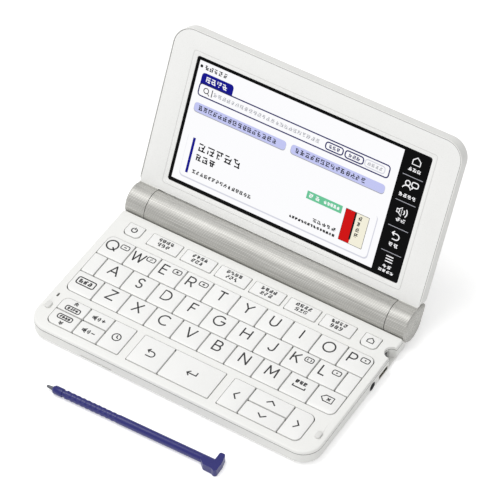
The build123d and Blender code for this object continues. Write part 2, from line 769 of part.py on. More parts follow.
# ---------------------------------------------------------------- battery barrel
with BuildPart() as battery_barrel:
    with BuildSketch(across(-centre_half)):
        with Locations((hinge_y, hinge_z)):
            Circle(barrel_radius)
    extrude(amount=2 * centre_half)
    with BuildSketch(across(-bay_half)):
        with Locations((hinge_y, hinge_z)):
            Circle(bay_radius)
    extrude(amount=2 * bay_half, mode=Mode.SUBTRACT)
    # The flange that the case screws hold; it stops at the barrel's wall.
    with BuildSketch(Plane.XY.offset(flange_low_z)):
        flange_rear_y = hinge_y - sqrt(barrel_radius ** 2 - (hinge_z - flange_high_z) ** 2) + 0.4
        with Locations((0, (flange_front_y + flange_rear_y) / 2)):
            Rectangle(2 * flange_half, flange_rear_y - flange_front_y)
    extrude(amount=flange_high_z - flange_low_z)
    with BuildSketch(barrel_plane):
        add(rear_band(cover_gap))
    extrude(amount=window_half, both=True, mode=Mode.SUBTRACT)
    for side in (-1, 1):
        with BuildSketch(across(side * centre_half)):
            with Locations((hinge_y, hinge_z)):
                Circle(pin_radius + pin_fit)
        extrude(amount=-side * (centre_half - bay_half - 1.2), mode=Mode.SUBTRACT)
    with BuildSketch(Plane.XY.offset(flange_low_z)):
        with Locations(*flange_screw_places):
            Circle(screw_radius)
    extrude(amount=flange_high_z - flange_low_z, mode=Mode.SUBTRACT)
save(battery_barrel.part, "battery_barrel")

with BuildPart() as battery_cover:
    with BuildSketch(barrel_plane):
        add(rear_band(0))
    extrude(amount=window_half - cover_gap, both=True)
save(battery_cover.part, "battery_cover")

with BuildPart() as batteries:
    for start in (-cell_length, 0):
        with BuildSketch(across(start)):
            with Locations((hinge_y, hinge_z)):
                Circle(cell_radius)
        extrude(amount=cell_length - cell_nub)
        with BuildSketch(across(start)):
            with Locations((hinge_y, hinge_z)):
                Circle(cell_nub_radius)
        extrude(amount=cell_length)
save(batteries.part, "batteries")

with BuildPart() as battery_contacts:
    for side in (-1, 1):
        with BuildSketch(across(side * bay_half)):
            with Locations((hinge_y, hinge_z)):
                Circle(cell_radius - 1.5)
        extrude(amount=-side * contact_thickness)
        reach = bay_half - contact_thickness - cell_length
        with BuildSketch(across(side * (bay_half - contact_thickness))):
            with Locations((hinge_y, hinge_z)):
                Circle(spring_radius)
        extrude(amount=-side * reach, taper=12)
save(battery_contacts.part, "battery_contacts")

pin_inner_x = bay_half + 1.3
pin_outer_x = half_width - pin_cover
with BuildPart() as hinge_pins:
    for side in (-1, 1):
        with BuildSketch(across(side * pin_inner_x)):
            with Locations((hinge_y, hinge_z)):
                Circle(pin_radius)
        extrude(amount=side * (pin_outer_x - pin_inner_x))
save(hinge_pins.part, "hinge_pins")


# ---------------------------------------------------------------- lid
def lid_sheet(w):
    """The plane across the lid's thickness at w in front of the barrel axis."""
    return lid_plane.offset(w)


arm_half_width = 3.6
arm_x = pivot_x
arm_low_w = lid_back_w + lid_back_wall + 0.3
arm_high_w = bezel_back_w - 1.2
arm_length = 16.0
arm_top_v = lid_foot + arm_length
fairing_back_w = -barrel_radius

lid_plan = plan(-lid_half, lid_half, lid_foot, lid_height, lid_foot_round, corner_radius)
lid_cavity = plan(-lid_half + lid_wall, lid_half - lid_wall, lid_foot + lid_wall, lid_height - lid_wall,
                  lid_foot_round - lid_wall, corner_radius - lid_wall)
rebate_plan = plan(-lid_half + rim_width, lid_half - rim_width, lid_foot - 1.0, lid_height - rim_width,
                   0.5, corner_radius - rim_width)
bezel_plan = plan(-lid_half + rim_width + bezel_gap, lid_half - rim_width - bezel_gap, lid_foot,
                  lid_height - rim_width - bezel_gap, 1.0, corner_radius - rim_width - bezel_gap)

with BuildPart() as lid_cover:
    with BuildSketch(lid_sheet(lid_back_w)):
        add(lid_plan)
    extrude(amount=lid_thickness + lid_setback)
    back_face = lid_cover.faces().sort_by(Axis(lid_plane.origin, lid_plane.z_dir))[0]
    fillet(back_face.edges(), lid_back_round)
    with BuildSketch(lid_sheet(lid_back_w + lid_back_wall)):
        add(lid_cavity)
    extrude(amount=lid_thickness, mode=Mode.SUBTRACT)
    with BuildSketch(lid_sheet(bezel_back_w)):
        add(rebate_plan)
    extrude(amount=bezel_thickness + 1.0, mode=Mode.SUBTRACT)
    for side in (-1, 1):
        with BuildSketch(lid_sheet(arm_low_w - 0.1)):
            with Locations((side * arm_x, lid_foot)):
                Rectangle(2 * arm_half_width + 0.2, 4 * lid_wall)
        extrude(amount=arm_high_w - arm_low_w + 0.2, mode=Mode.SUBTRACT)
save(lid_cover.part, "lid_cover")

window_x = (window_left + window_right) / 2
window_v = (window_low + window_high) / 2
window_width = window_right - window_left
window_height = window_high - window_low

with BuildPart() as lid_bezel:
    with BuildSketch(lid_sheet(bezel_back_w)):
        add(bezel_plan)
    extrude(amount=bezel_thickness)
    with BuildSketch(lid_sheet(bezel_back_w)):
        with Locations((window_x, window_v)):
            RectangleRounded(window_width, window_height, window_corner)
    extrude(amount=bezel_thickness, mode=Mode.SUBTRACT)
    # The shallow slope from the face down to the glass.
    with BuildSketch(lid_sheet(bezel_front_w)):
        with Locations((window_x, window_v)):
            RectangleRounded(window_width + 2 * window_slope, window_height + 2 * window_slope,
                             window_corner + window_slope)
    with BuildSketch(lid_sheet(bezel_front_w - window_slope_depth)):
        with Locations((window_x, window_v)):
            RectangleRounded(window_width, window_height, window_corner)
    loft(mode=Mode.SUBTRACT)
    with BuildSketch(lid_sheet(bezel_back_w)):
        with Locations((window_x, window_v)):
            Rectangle(window_width + 2 * glass_margin + 0.2, window_height + 2 * glass_margin + 0.2)
    extrude(amount=glass_pocket, mode=Mode.SUBTRACT)
save(lid_bezel.part, "lid_bezel")

with BuildPart() as touch_panel:
    with BuildSketch(lid_sheet(glass_back_w)):
        with Locations((window_x, window_v)):
            Rectangle(window_width + 2 * glass_margin, window_height + 2 * glass_margin)
    extrude(amount=glass_thickness)
save(touch_panel.part, "touch_panel")

with BuildPart() as display_panel:
    with BuildSketch(lid_sheet(glass_back_w - panel_thickness)):
        with Locations((window_x, window_v)):
            Rectangle(window_width + 2 * panel_margin, window_height + 2 * panel_margin)
    extrude(amount=panel_thickness)
save(display_panel.part, "display_panel")

with BuildPart() as hinge_caps:
    for side in (-1, 1):
        inner_x = side * (half_width - cap_length)
        with BuildSketch(across(inner_x)):
            with Locations((hinge_y, hinge_z)):
                Circle(barrel_radius)
        extrude(amount=side * cap_length)
        # The fairing from the cap up to the lid's foot, and the arm inside the lid.
        with BuildSketch(lid_sheet(fairing_back_w)):
            with Locations((side * (half_width - cap_length / 2), lid_foot / 2)):
                Rectangle(cap_length, lid_foot)
        extrude(amount=bezel_front_w - fairing_back_w)
    for side in (-1, 1):
        chamfer(hinge_caps.faces().sort_by(Axis.X)[0 if side < 0 else -1].edges(), cap_bevel)
    for side in (-1, 1):
        with BuildSketch(lid_sheet(arm_low_w)):
            with Locations((side * arm_x, (lid_foot + arm_top_v) / 2 - 1.0)):
                Rectangle(2 * arm_half_width, arm_top_v - lid_foot + 2.0)
        extrude(amount=arm_high_w - arm_low_w)
        with BuildSketch(across(side * (half_width - cap_length))):
            with Locations((hinge_y, hinge_z)):
                Circle(pin_radius + pin_clearance)
        extrude(amount=side * (pin_outer_x - half_width + cap_length + 0.2), mode=Mode.SUBTRACT)
save(hinge_caps.part, "hinge_caps")


# ---------------------------------------------------------------- stylus, laid in front
stylus_tip_x = -47.8
stylus_forward = 21.7        # in front of the case
stylus_turn = 1.5            # degrees off the case's front edge
head_thickness = 4.2
head_width = 3.6
head_rear_reach = 5.4        # shaft axis to the finger hook's end
head_front_reach = 4.8       # shaft axis to the web's front corner
head_web = 9.3               # length of the web beside the shaft
head_round = 0.9
tip_length = 3.4
tip_radius = 0.9
nib_radius = 0.65
tip_blunt = 0.5
nose_radius = 1.35
nose_length = 1.0
collar_x = 8.5               # neck groove behind the tip
collar_width = 1.7
collar_depth = 0.35
grip_start = 11.0
grip_end = 37.0
rib_pitch = 2.6
rib_depth = 0.22

stylus_y = front_y - stylus_forward
stylus_z = head_thickness / 2
stylus_frame = Plane(origin=(stylus_tip_x, stylus_y, stylus_z),
                     x_dir=(cos(radians(stylus_turn)), sin(radians(stylus_turn)), 0),
                     z_dir=(0, 0, 1))
head_inner_x = stylus_length - head_width
rib_count = int((grip_end - grip_start) / rib_pitch)

with BuildPart() as stylus_shaft:
    with BuildSketch(stylus_frame) as profile:
        with BuildLine():
            points = [(tip_length, 0), (tip_length, nose_radius),
                      (tip_length + nose_length, stylus_radius),
                      (collar_x, stylus_radius),
                      (collar_x, stylus_radius - collar_depth),
                      (collar_x + collar_width, stylus_radius - collar_depth),
                      (collar_x + collar_width, stylus_radius)]
            for n in range(rib_count):
                x = grip_start + n * rib_pitch
                points += [(x, stylus_radius), (x + rib_pitch / 2, stylus_radius - rib_depth)]
            points.append((grip_start + rib_count * rib_pitch, stylus_radius))
            points += [(head_inner_x + head_width / 2, stylus_radius),
                       (head_inner_x + head_width / 2, 0)]
            Polyline(*points, close=True)
        make_face()
    stylus_axis = Axis(stylus_frame.origin, stylus_frame.x_dir)
    revolve(axis=stylus_axis)
    # The head: a finger hook across the shaft's end, with a web along the shaft's front.
    with BuildSketch(stylus_frame.offset(-head_thickness / 2)) as head:
        with BuildLine():
            Polyline((head_inner_x, 0), (head_inner_x, head_rear_reach),
                     (stylus_length - 1.0, head_rear_reach), (stylus_length, 1.0),
                     (stylus_length, 0.7 - head_front_reach), (stylus_length - 1.1, -head_front_reach),
                     (stylus_length - 2.6, 0.7 - head_front_reach),
                     (stylus_length - 0.75 * head_web, 0.9 - head_front_reach),
                     (stylus_length - head_web, -stylus_radius + 0.3),
                     (stylus_length - head_web, 0), close=True)
        make_face()
    extrude(amount=head_thickness)
    corners = stylus_shaft.edges().filter_by(Axis.Z)
    fillet(corners.filter_by(lambda edge: edge.length > 0.9 * head_thickness), head_round)
save(stylus_shaft.part, "stylus_shaft")

with BuildPart() as stylus_tip:
    with BuildSketch(stylus_frame):
        with BuildLine():
            Polyline((0, 0), (tip_length, 0), (tip_length, tip_radius), (tip_blunt, nib_radius),
                     (0, nib_radius / 2), close=True)
        make_face()
    revolve(axis=stylus_axis)
save(stylus_tip.part, "stylus_tip")
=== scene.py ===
# %% [markdown]
# # An electronic dictionary on a desk
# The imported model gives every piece's place and how it moves. This script dresses it:
# it rounds what a mould would round, prints the key legends, lights the display and
# sets up a small product studio.

# %% Load the frame
import json
import math
import random

import bmesh
import bpy
from mathutils import Matrix, Vector

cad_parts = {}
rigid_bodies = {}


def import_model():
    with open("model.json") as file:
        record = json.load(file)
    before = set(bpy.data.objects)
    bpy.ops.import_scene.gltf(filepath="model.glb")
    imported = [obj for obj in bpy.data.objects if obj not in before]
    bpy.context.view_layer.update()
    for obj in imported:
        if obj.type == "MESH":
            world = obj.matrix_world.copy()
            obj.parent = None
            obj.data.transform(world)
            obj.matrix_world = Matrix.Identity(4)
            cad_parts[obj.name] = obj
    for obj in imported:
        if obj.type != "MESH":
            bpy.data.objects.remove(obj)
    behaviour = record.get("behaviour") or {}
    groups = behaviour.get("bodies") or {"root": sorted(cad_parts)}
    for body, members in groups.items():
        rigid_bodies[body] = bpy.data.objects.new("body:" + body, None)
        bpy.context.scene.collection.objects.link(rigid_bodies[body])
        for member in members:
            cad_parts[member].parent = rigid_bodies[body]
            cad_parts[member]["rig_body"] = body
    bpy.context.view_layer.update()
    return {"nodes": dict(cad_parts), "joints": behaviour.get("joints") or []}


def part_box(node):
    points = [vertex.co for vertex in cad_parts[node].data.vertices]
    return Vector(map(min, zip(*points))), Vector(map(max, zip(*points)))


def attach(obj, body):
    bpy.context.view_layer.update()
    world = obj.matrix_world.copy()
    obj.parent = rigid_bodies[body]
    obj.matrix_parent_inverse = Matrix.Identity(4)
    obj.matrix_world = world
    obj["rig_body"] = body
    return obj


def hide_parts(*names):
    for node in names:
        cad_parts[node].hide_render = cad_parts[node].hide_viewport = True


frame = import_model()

MM = 0.001

# %% [markdown]
# The lid turns about the barrel's axis, and it is convenient to draw on its face as if
# it were a flat sheet: x to the right, v from the axis towards the far edge, w out of
# the screen. The hinge's place and its rest angle are read from the frame's joint.

# %% The lid's sheet
HINGE = next(j for j in frame["joints"] if j["name"] == "lid_hinge")
AXIS = Vector(HINGE["pos_m"])
LID_TILT = math.pi - math.radians(HINGE["range_deg"][1])
LID = Matrix.Translation(AXIS) @ Matrix.Rotation(LID_TILT, 4, "X")
KEY_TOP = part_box("key_g")[1].z
SCREEN_W = -1.72 * MM
print("lid stands at", round(math.degrees(LID_TILT), 1), "degrees")
print("key tops at", round(KEY_TOP / MM, 2), "mm")

# %% [markdown]
# ## Materials
# Colours are written as the eye names them, in sRGB hex, and one function turns them
# into the linear light that the renderer works in. One more adds a shader node with its
# settings and links, so that each finish below reads from top to bottom.

# %% Colour and node helpers
def srgb(code, alpha=1.0):
    """A colour written in sRGB hex, as linear light."""
    channels = [int(code[i:i + 2], 16) / 255 for i in (1, 3, 5)]
    linear = [c / 12.92 if c <= 0.04045 else ((c + 0.055) / 1.055) ** 2.4 for c in channels]
    return (*linear, alpha)


def add(tree, kind, sockets=None, **settings):
    """Adds a node, sets its properties, and gives each named socket a value or a link."""
    made = tree.nodes.new(kind)
    for name, value in settings.items():
        setattr(made, name, value)
    for name, value in (sockets or {}).items():
        if isinstance(value, bpy.types.NodeSocket):
            tree.links.new(value, made.inputs[name])
        else:
            made.inputs[name].default_value = value
    return made


def surface(name):
    """A new material with its principled shader; returns the material, tree and shader."""
    material = bpy.data.materials.new(name)
    material.use_nodes = True
    tree = material.node_tree
    shader = tree.nodes["Principled BSDF"]
    return material, tree, shader


def place_of(tree):
    """Object coordinates: the pattern stays with the piece as it moves."""
    return add(tree, "ShaderNodeTexCoord").outputs["Object"]


# %% [markdown]
# Both case halves, the lid and the keys are moulded ABS. The mould is spark-eroded, which
# leaves a fine even grain, about 0.2 mm from pit to pit. Grain that fine hardly shows at
# this distance, so it is drawn at 0.35 mm. The resin's colour also drifts a little.

# %% Moulded plastic
GRAIN_MM = 0.35
DRIFT_MM = 14
ABS_IOR = 1.53
PIT_DEPTH = 0.02 * MM


def moulded(name, colour, shade, roughness, grain=0.25):
    material, tree, shader = surface(name)
    spot = place_of(tree)
    drift = add(tree, "ShaderNodeTexNoise", {"Vector": spot, "Scale": 1 / (DRIFT_MM * MM), "Detail": 3.0})
    tint = add(tree, "ShaderNodeMix", {"Factor": drift.outputs["Fac"], "A": srgb(colour), "B": srgb(shade)},
               data_type="RGBA")
    tree.links.new(tint.outputs["Result"], shader.inputs["Base Color"])
    pits = add(tree, "ShaderNodeTexNoise", {"Vector": spot, "Scale": 1 / (GRAIN_MM * MM), "Detail": 2.0})
    worn = add(tree, "ShaderNodeMapRange", {"Value": pits.outputs["Fac"], "From Min": 0.3, "From Max": 0.7,
                                            "To Min": roughness - 0.05, "To Max": roughness + 0.06})
    tree.links.new(worn.outputs["Result"], shader.inputs["Roughness"])
    bump = add(tree, "ShaderNodeBump", {"Height": pits.outputs["Fac"], "Strength": grain,
                                        "Distance": PIT_DEPTH})
    tree.links.new(bump.outputs["Normal"], shader.inputs["Normal"])
    shader.inputs["IOR"].default_value = ABS_IOR
    return material


case_abs = moulded("case_moulded_abs", "#F2F2EF", "#EEEEEB", 0.42)
lower_abs = moulded("lower_case_moulded_abs", "#EDEDEA", "#E8E8E5", 0.45)
key_abs = moulded("key_moulded_abs", "#F4F4F2", "#F0F0EE", 0.36, grain=0.12)
bezel_abs = moulded("bezel_satin_abs", "#F2F2F0", "#EFEFED", 0.30, grain=0.06)
# The key mat's dark grey is partly the silicone's own colour and partly painted shade, so that the gaps
# between the keys look dark.
mat_silicone_gap_shade = moulded("key_mat_silicone_gap_shade", "#3F3F41", "#38383A", 0.7, grain=0.3)
# Near-black painted shade for the keycaps' sides, so that the gaps between keys look as dark as shadow.
painted_gap_shade = moulded("key_skirt_painted_gap_shade", "#161617", "#1B1B1C", 0.8, grain=0.2)
# A dark grey of painted shade for the parting lines and the bumpers' sides, where a groove or pocket lies in
# shadow.
painted_seam_shade = moulded("painted_seam_shade_band", "#6F6F6D", "#676765", 0.8, grain=0.1)
# A pale grey of painted shade for the edge where the screen frame slopes down to the glass.
painted_slope_shade = moulded("painted_window_slope_shade", "#DADAD8", "#D6D6D4", 0.4, grain=0.05)
foot_rubber = moulded("foot_rubber", "#B4B4B0", "#A9A9A5", 0.75, grain=0.5)
bumper_rubber = moulded("bumper_rubber", "#E4E4E1", "#DCDCD9", 0.55, grain=0.1)
black_abs = moulded("black_abs", "#1C1C1E", "#242426", 0.5)
jack_nylon = moulded("jack_nylon", "#56585A", "#4C4E50", 0.45, grain=0.1)
blue_acetal = moulded("stylus_blue_acetal", "#1B1B6A", "#202074", 0.34, grain=0.05)
nib_grey = moulded("nib_grey_acetal", "#66686E", "#585A60", 0.35, grain=0.05)
ink = moulded("pad_printed_ink", "#262628", "#2E2E30", 0.55, grain=0.1)

# %% [markdown]
# The barrel is ABS too, but spray-painted in a silver pearl lacquer: fine metal flake
# under a satin clear coat. That makes it darker than the white case and lets it fall off
# from a bright top to a dark underside. Its ribs are cut into the mesh further down; the
# material adds the brushed streaks between them, drawn 0.35 mm wide, the flake, and a
# painted shade that darkens each rib's valley.

# %% Silver pearl lacquer
BARREL_LOW, BARREL_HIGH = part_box("hinge_caps")
BARREL_RADIUS = (BARREL_HIGH.z - BARREL_LOW.z) / 2
RIB_MM = 1.05
RIBS = round(2 * math.pi * BARREL_RADIUS / MM / RIB_MM)
STREAK_MM = 0.35
FLAKE_MM = 0.12


def pearl_lacquer(name, colour, shade, groove):
    material, tree, shader = surface(name)
    spot = place_of(tree)
    along = add(tree, "ShaderNodeMapping", {"Vector": spot, "Scale": (0.012, 1.0, 1.0)})
    streaks = add(tree, "ShaderNodeTexNoise", {"Vector": along.outputs["Vector"], "Detail": 3.0,
                                               "Scale": 1 / (STREAK_MM * MM)})
    split = add(tree, "ShaderNodeMapRange", {"Value": streaks.outputs["Fac"], "From Min": 0.32,
                                             "From Max": 0.68})
    skin = add(tree, "ShaderNodeMix", {"Factor": split.outputs["Result"], "A": srgb(colour),
                                       "B": srgb(shade)}, data_type="RGBA")
    centred = add(tree, "ShaderNodeMapping", {"Vector": spot, "Location": (0, -AXIS.y, -AXIS.z)})
    arm = add(tree, "ShaderNodeSeparateXYZ", {"Vector": centred.outputs["Vector"]})
    turn = add(tree, "ShaderNodeMath", {0: arm.outputs["Z"], 1: arm.outputs["Y"]}, operation="ARCTAN2")
    phase = add(tree, "ShaderNodeMath", {0: turn.outputs[0], 1: float(RIBS)}, operation="MULTIPLY")
    wave = add(tree, "ShaderNodeMath", {0: phase.outputs[0]}, operation="COSINE")
    # Painted shade: the colour darkens towards the groove colour in each rib's valley.
    valley = add(tree, "ShaderNodeMapRange", {"Value": wave.outputs[0], "From Min": -0.15, "From Max": -1.0})
    tint = add(tree, "ShaderNodeMix", {"Factor": valley.outputs["Result"], "A": skin.outputs["Result"],
                                       "B": srgb(groove)}, data_type="RGBA")
    tree.links.new(tint.outputs["Result"], shader.inputs["Base Color"])
    flake = add(tree, "ShaderNodeTexNoise", {"Vector": spot, "Scale": 1 / (FLAKE_MM * MM), "Detail": 1.0})
    brushed = add(tree, "ShaderNodeBump", {"Height": streaks.outputs["Fac"], "Strength": 0.5,
                                           "Distance": 0.06 * MM})
    sparkle = add(tree, "ShaderNodeBump", {"Height": flake.outputs["Fac"], "Strength": 0.1,
                                           "Distance": PIT_DEPTH, "Normal": brushed.outputs["Normal"]})
    tree.links.new(sparkle.outputs["Normal"], shader.inputs["Normal"])
    shader.inputs["Metallic"].default_value = 0.42
    shader.inputs["Roughness"].default_value = 0.46
    shader.inputs["Coat Weight"].default_value = 0.1
    shader.inputs["Coat Roughness"].default_value = 0.3
    return material


barrel_pearl = pearl_lacquer("barrel_pearl_lacquer", "#DCDBD6", "#B8B7B2", "#6F6E6A")

# %% [markdown]
# Inside are metals and a circuit board. They show only with the battery cover off, in a
# port or through a slit, but each still gets the finish that the real one has: rolled
# steel with lines along the roll, nickel plate, glass-fibre laminate, a shrink-wrapped
# cell.

# %% Metals, board and cells
CELL_LENGTH = 50.5 * MM
WRAP_BAND = 14 * MM


def rolled_steel(name, colour, roughness=0.28):
    material, tree, shader = surface(name)
    along = add(tree, "ShaderNodeMapping", {"Vector": place_of(tree), "Scale": (0.05, 1.0, 1.0)})
    lines = add(tree, "ShaderNodeTexNoise", {"Vector": along.outputs["Vector"], "Detail": 2.0,
                                             "Scale": 1 / (0.2 * MM)})
    spread = add(tree, "ShaderNodeMapRange", {"Value": lines.outputs["Fac"], "To Min": roughness - 0.08,
                                              "To Max": roughness + 0.12})
    tree.links.new(spread.outputs["Result"], shader.inputs["Roughness"])
    shader.inputs["Base Color"].default_value = srgb(colour)
    shader.inputs["Metallic"].default_value = 1.0
    return material


def laminate(name):
    material, tree, shader = surface(name)
    weave = add(tree, "ShaderNodeTexChecker", {"Vector": place_of(tree), "Color1": srgb("#1F5A3A"),
                                               "Color2": srgb("#235F3F"), "Scale": 1 / (0.6 * MM)})
    tree.links.new(weave.outputs["Color"], shader.inputs["Base Color"])
    shader.inputs["Roughness"].default_value = 0.4
    return material


def cell_wrap(name):
    material, tree, shader = surface(name)
    parts = add(tree, "ShaderNodeSeparateXYZ", {"Vector": place_of(tree)})
    band = add(tree, "ShaderNodeMath", {0: parts.outputs["X"], 1: CELL_LENGTH}, operation="PINGPONG")
    dark = add(tree, "ShaderNodeMath", {0: band.outputs[0], 1: WRAP_BAND}, operation="LESS_THAN")
    tint = add(tree, "ShaderNodeMix", {"Factor": dark.outputs[0], "A": srgb("#C9CBCE"),
                                       "B": srgb("#2F4A66")}, data_type="RGBA")
    tree.links.new(tint.outputs["Result"], shader.inputs["Base Color"])
    shader.inputs["Metallic"].default_value = 0.4
    shader.inputs["Roughness"].default_value = 0.3
    return material


steel = rolled_steel("zinc_plated_steel", "#C9CACB")
nickel = rolled_steel("nickel_plated_shell", "#BDB9B0", 0.22)
board_laminate = laminate("board_glass_fibre")
cell_skin = cell_wrap("cell_shrink_wrap")

# %% [markdown]
# The display is a backlit panel under a film that takes the glare off. What it shows is
# light, not paint, so each colour is an emission under a weak gloss. The faint grid is the
# panel's pixels, 0.14 mm apart.

# %% Display under glass
PIXEL_MM = 0.14


def lit(name, colour):
    material, tree, shader = surface(name)
    grid = add(tree, "ShaderNodeTexChecker", {"Vector": place_of(tree), "Color1": srgb(colour),
                                              "Color2": tuple(0.97 * c for c in srgb(colour)),
                                              "Scale": 1 / (PIXEL_MM * MM)})
    tree.links.new(grid.outputs["Color"], shader.inputs["Emission Color"])
    shader.inputs["Emission Strength"].default_value = 1.0
    shader.inputs["Base Color"].default_value = srgb("#020202")
    shader.inputs["Roughness"].default_value = 0.25
    shader.inputs["Specular IOR Level"].default_value = 0.08
    return material


def black_glass(name):
    material, tree, shader = surface(name)
    smear = add(tree, "ShaderNodeTexNoise", {"Vector": place_of(tree), "Detail": 2.0,
                                             "Scale": 1 / (20 * MM)})
    rough = add(tree, "ShaderNodeMapRange", {"Value": smear.outputs["Fac"], "To Min": 0.08, "To Max": 0.16})
    tree.links.new(rough.outputs["Result"], shader.inputs["Roughness"])
    shader.inputs["Base Color"].default_value = srgb("#030304")
    shader.inputs["IOR"].default_value = 1.5
    shader.inputs["Specular IOR Level"].default_value = 0.1
    return material


panel_glass = black_glass("black_masked_glass")
lit_white = lit("screen_white", "#FDFDFF")
lit_navy = lit("screen_navy", "#0C0C8C")
lit_line = lit("screen_navy_line", "#202064")
lit_ink = lit("screen_ink", "#101014")
lit_grey = lit("screen_pale_grey", "#A9AAB2")
lit_faint = lit("screen_faint_grey", "#D6D7E2")
lit_lavender = lit("screen_lavender", "#C4C8F4")
lit_green = lit("screen_green", "#6CC79A")
lit_red = lit("screen_red", "#D00808")
lit_cream = lit("screen_cream", "#F4F0DC")

# %% [markdown]
# ## Making pieces
# A finished piece sits at the origin with its place in its mesh, rides on a body, and
# takes the finish it is given.

# %% Piece helpers
def finish(name, mesh, material, body, smooth=35, below=None):
    """Makes the object, shades it smooth up to an angle and hangs it on its body."""
    made = bpy.data.objects.new(name, mesh)
    bpy.context.scene.collection.objects.link(made)
    mesh.materials.clear()
    mesh.materials.append(material)
    if below:
        mesh.materials.append(below)
    if smooth:
        mesh.shade_smooth()
        mesh.set_sharp_from_angle(angle=math.radians(smooth))
    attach(made, body)
    return made


def finish_bmesh(name, bm, material, body, smooth=35, below=None):
    mesh = bpy.data.meshes.new(name)
    bm.to_mesh(mesh)
    bm.free()
    return finish(name, mesh, material, body, smooth, below)


def body_of_node(node):
    return frame["nodes"][node]["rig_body"]


def merged(node):
    """The CAD node's shape with its loose triangles merged into whole faces."""
    bm = bmesh.new()
    bm.from_mesh(frame["nodes"][node].data)
    bmesh.ops.remove_doubles(bm, verts=bm.verts, dist=0.0005 * MM)
    bmesh.ops.dissolve_limit(bm, angle_limit=math.radians(0.3), verts=bm.verts, edges=bm.edges)
    return bm


def smooth_copy(node, material, smooth=28, soft_mm=0.0):
    """The node's own shape, shaded smoothly, with its sharp edges softened if asked."""
    made = finish_bmesh(node + "_skin", merged(node), material, body_of_node(node), smooth)
    if soft_mm:
        soft = made.modifiers.new("softened", "BEVEL")
        soft.width = soft_mm * MM
        soft.segments = 2
        soft.limit_method = "ANGLE"
        soft.angle_limit = math.radians(38)
    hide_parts(node)


# %% [markdown]
# The large shells already have their true form in the frame, with the mould's rounded
# edges. They are copied, merged and shaded smooth, and on the stylus a narrow bevel
# softens what is left sharp, because no moulded edge is a perfect corner.

# %% Shells
SHELLS = {
    "lower_case": (lower_abs, "case_white"),
    "upper_case": (case_abs, "case_white"),
    "lid_cover": (lower_abs, "case_white"),
    "lid_bezel": (bezel_abs, "bezel_white"),
    "rubber_feet": (foot_rubber, "rubber_grey"),
    "batteries": (cell_skin, "cell_wrap"),
    "battery_contacts": (steel, "steel"),
    "hinge_pins": (steel, "steel"),
    "case_screws": (steel, "steel"),
    "stylus_silo": (steel, "steel"),
    "usb_port": (nickel, "plated"),
    "headphone_jack": (jack_nylon, "jack_grey"),
    "speaker": (black_abs, "speaker_black"),
    "key_mat": (mat_silicone_gap_shade, "silicone"),
    "main_board": (board_laminate, "board"),
    "display_panel": (black_abs, "display"),
    "stylus_tip": (nib_grey, "tip_grey"),
}
for node, (material, slot) in SHELLS.items():
    smooth_copy(node, material)
smooth_copy("touch_panel", panel_glass)
smooth_copy("stylus_shaft", blue_acetal, smooth=40, soft_mm=0.3)
print("shells dressed:", len(SHELLS) + 2)

# %% [markdown]
# ## The ribbed barrel
# Fine ribs run the length of the barrel, its caps and the battery cover. They are real
# geometry here: planes through the axis cut the skin at each crest and each valley, and
# every point of the skin is then pulled in by the depth of the wave at its angle. The cuts
# are straight, so a rib costs only a few faces.

# %% Ribs
RIB_DEPTH = 0.12 * MM


def ribbed(node):
    bm = merged(node)
    for step in range(RIBS):
        angle = math.pi * step / RIBS
        across = Vector((0, -math.sin(angle), math.cos(angle)))
        parts = list(bm.verts) + list(bm.edges) + list(bm.faces)
        bmesh.ops.bisect_plane(bm, geom=parts, dist=1e-7, plane_co=AXIS, plane_no=across)
    for v in bm.verts:
        arm = Vector((0, v.co.y - AXIS.y, v.co.z - AXIS.z))
        if abs(arm.length - BARREL_RADIUS) < 0.03 * MM:
            wave = 0.5 - 0.5 * math.cos(RIBS * math.atan2(arm.z, arm.y))
            v.co -= arm.normalized() * RIB_DEPTH * wave
    made = finish_bmesh(node + "_ribbed", bm, barrel_pearl, body_of_node(node), smooth=28)
    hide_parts(node)
    return len(made.data.polygons)


for node in ("battery_barrel", "battery_cover", "hinge_caps"):
    print(node, "faces", ribbed(node))
print("ribs", RIBS, "on radius", round(BARREL_RADIUS / MM, 2), "mm")

# %% [markdown]
# ## Parting lines in painted shade
# Where two mouldings meet there is a narrow groove in shade, and it is drawn here as a thin
# strip of painted shade: round the case between deck and tray, round the screen frame inside
# the lid's rim, and faintly where the frame slopes down to the glass. The case's strip is cut
# out of a copy of the deck's skirt by two planes, so that it follows the outline everywhere,
# the notch included.

# %% Case parting line, painted shade
SEAM_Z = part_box("lower_case")[1].z
LINE_LOW = 0.02 * MM
LINE_HIGH = 0.3 * MM
LINE_PROUD = 0.02 * MM
# The strip is painted shade, standing in for the shadow in the groove between deck and tray.
seam_shade_strip = merged("upper_case")
for height, keep_above in ((LINE_LOW, True), (LINE_HIGH, False)):
    parts = list(seam_shade_strip.verts) + list(seam_shade_strip.edges) + list(seam_shade_strip.faces)
    bmesh.ops.bisect_plane(seam_shade_strip, geom=parts, dist=1e-7, plane_co=(0, 0, SEAM_Z + height), plane_no=(0, 0, 1),
                           clear_inner=keep_above, clear_outer=not keep_above)
level = [f for f in seam_shade_strip.faces if abs(f.normal.z) > 0.5]
bmesh.ops.delete(seam_shade_strip, geom=level, context="FACES")
for v in seam_shade_strip.verts:
    v.co += v.normal * LINE_PROUD
finish_bmesh("case_seam_painted_shade", seam_shade_strip, painted_seam_shade, body_of_node("upper_case"), smooth=40)
print("parting line at", round(SEAM_Z / MM, 2), "mm")

# %% [markdown]
# ## Keys
# Each key is a white cap whose sides are painted near-black: painted shade, so that the
# narrow gaps between the caps look dark as if in shadow. A cap starts as a block. Its
# upright corners are rounded, wider where the key sits at a corner of its group, and its
# top edge is rounded over. What faces sideways under that edge takes the painted shade.
# Letter keys also fall away over the front 2 mm, so that a finger finds the row.

# %% Where the keys are
WIDE_GAP = 0.9 * MM


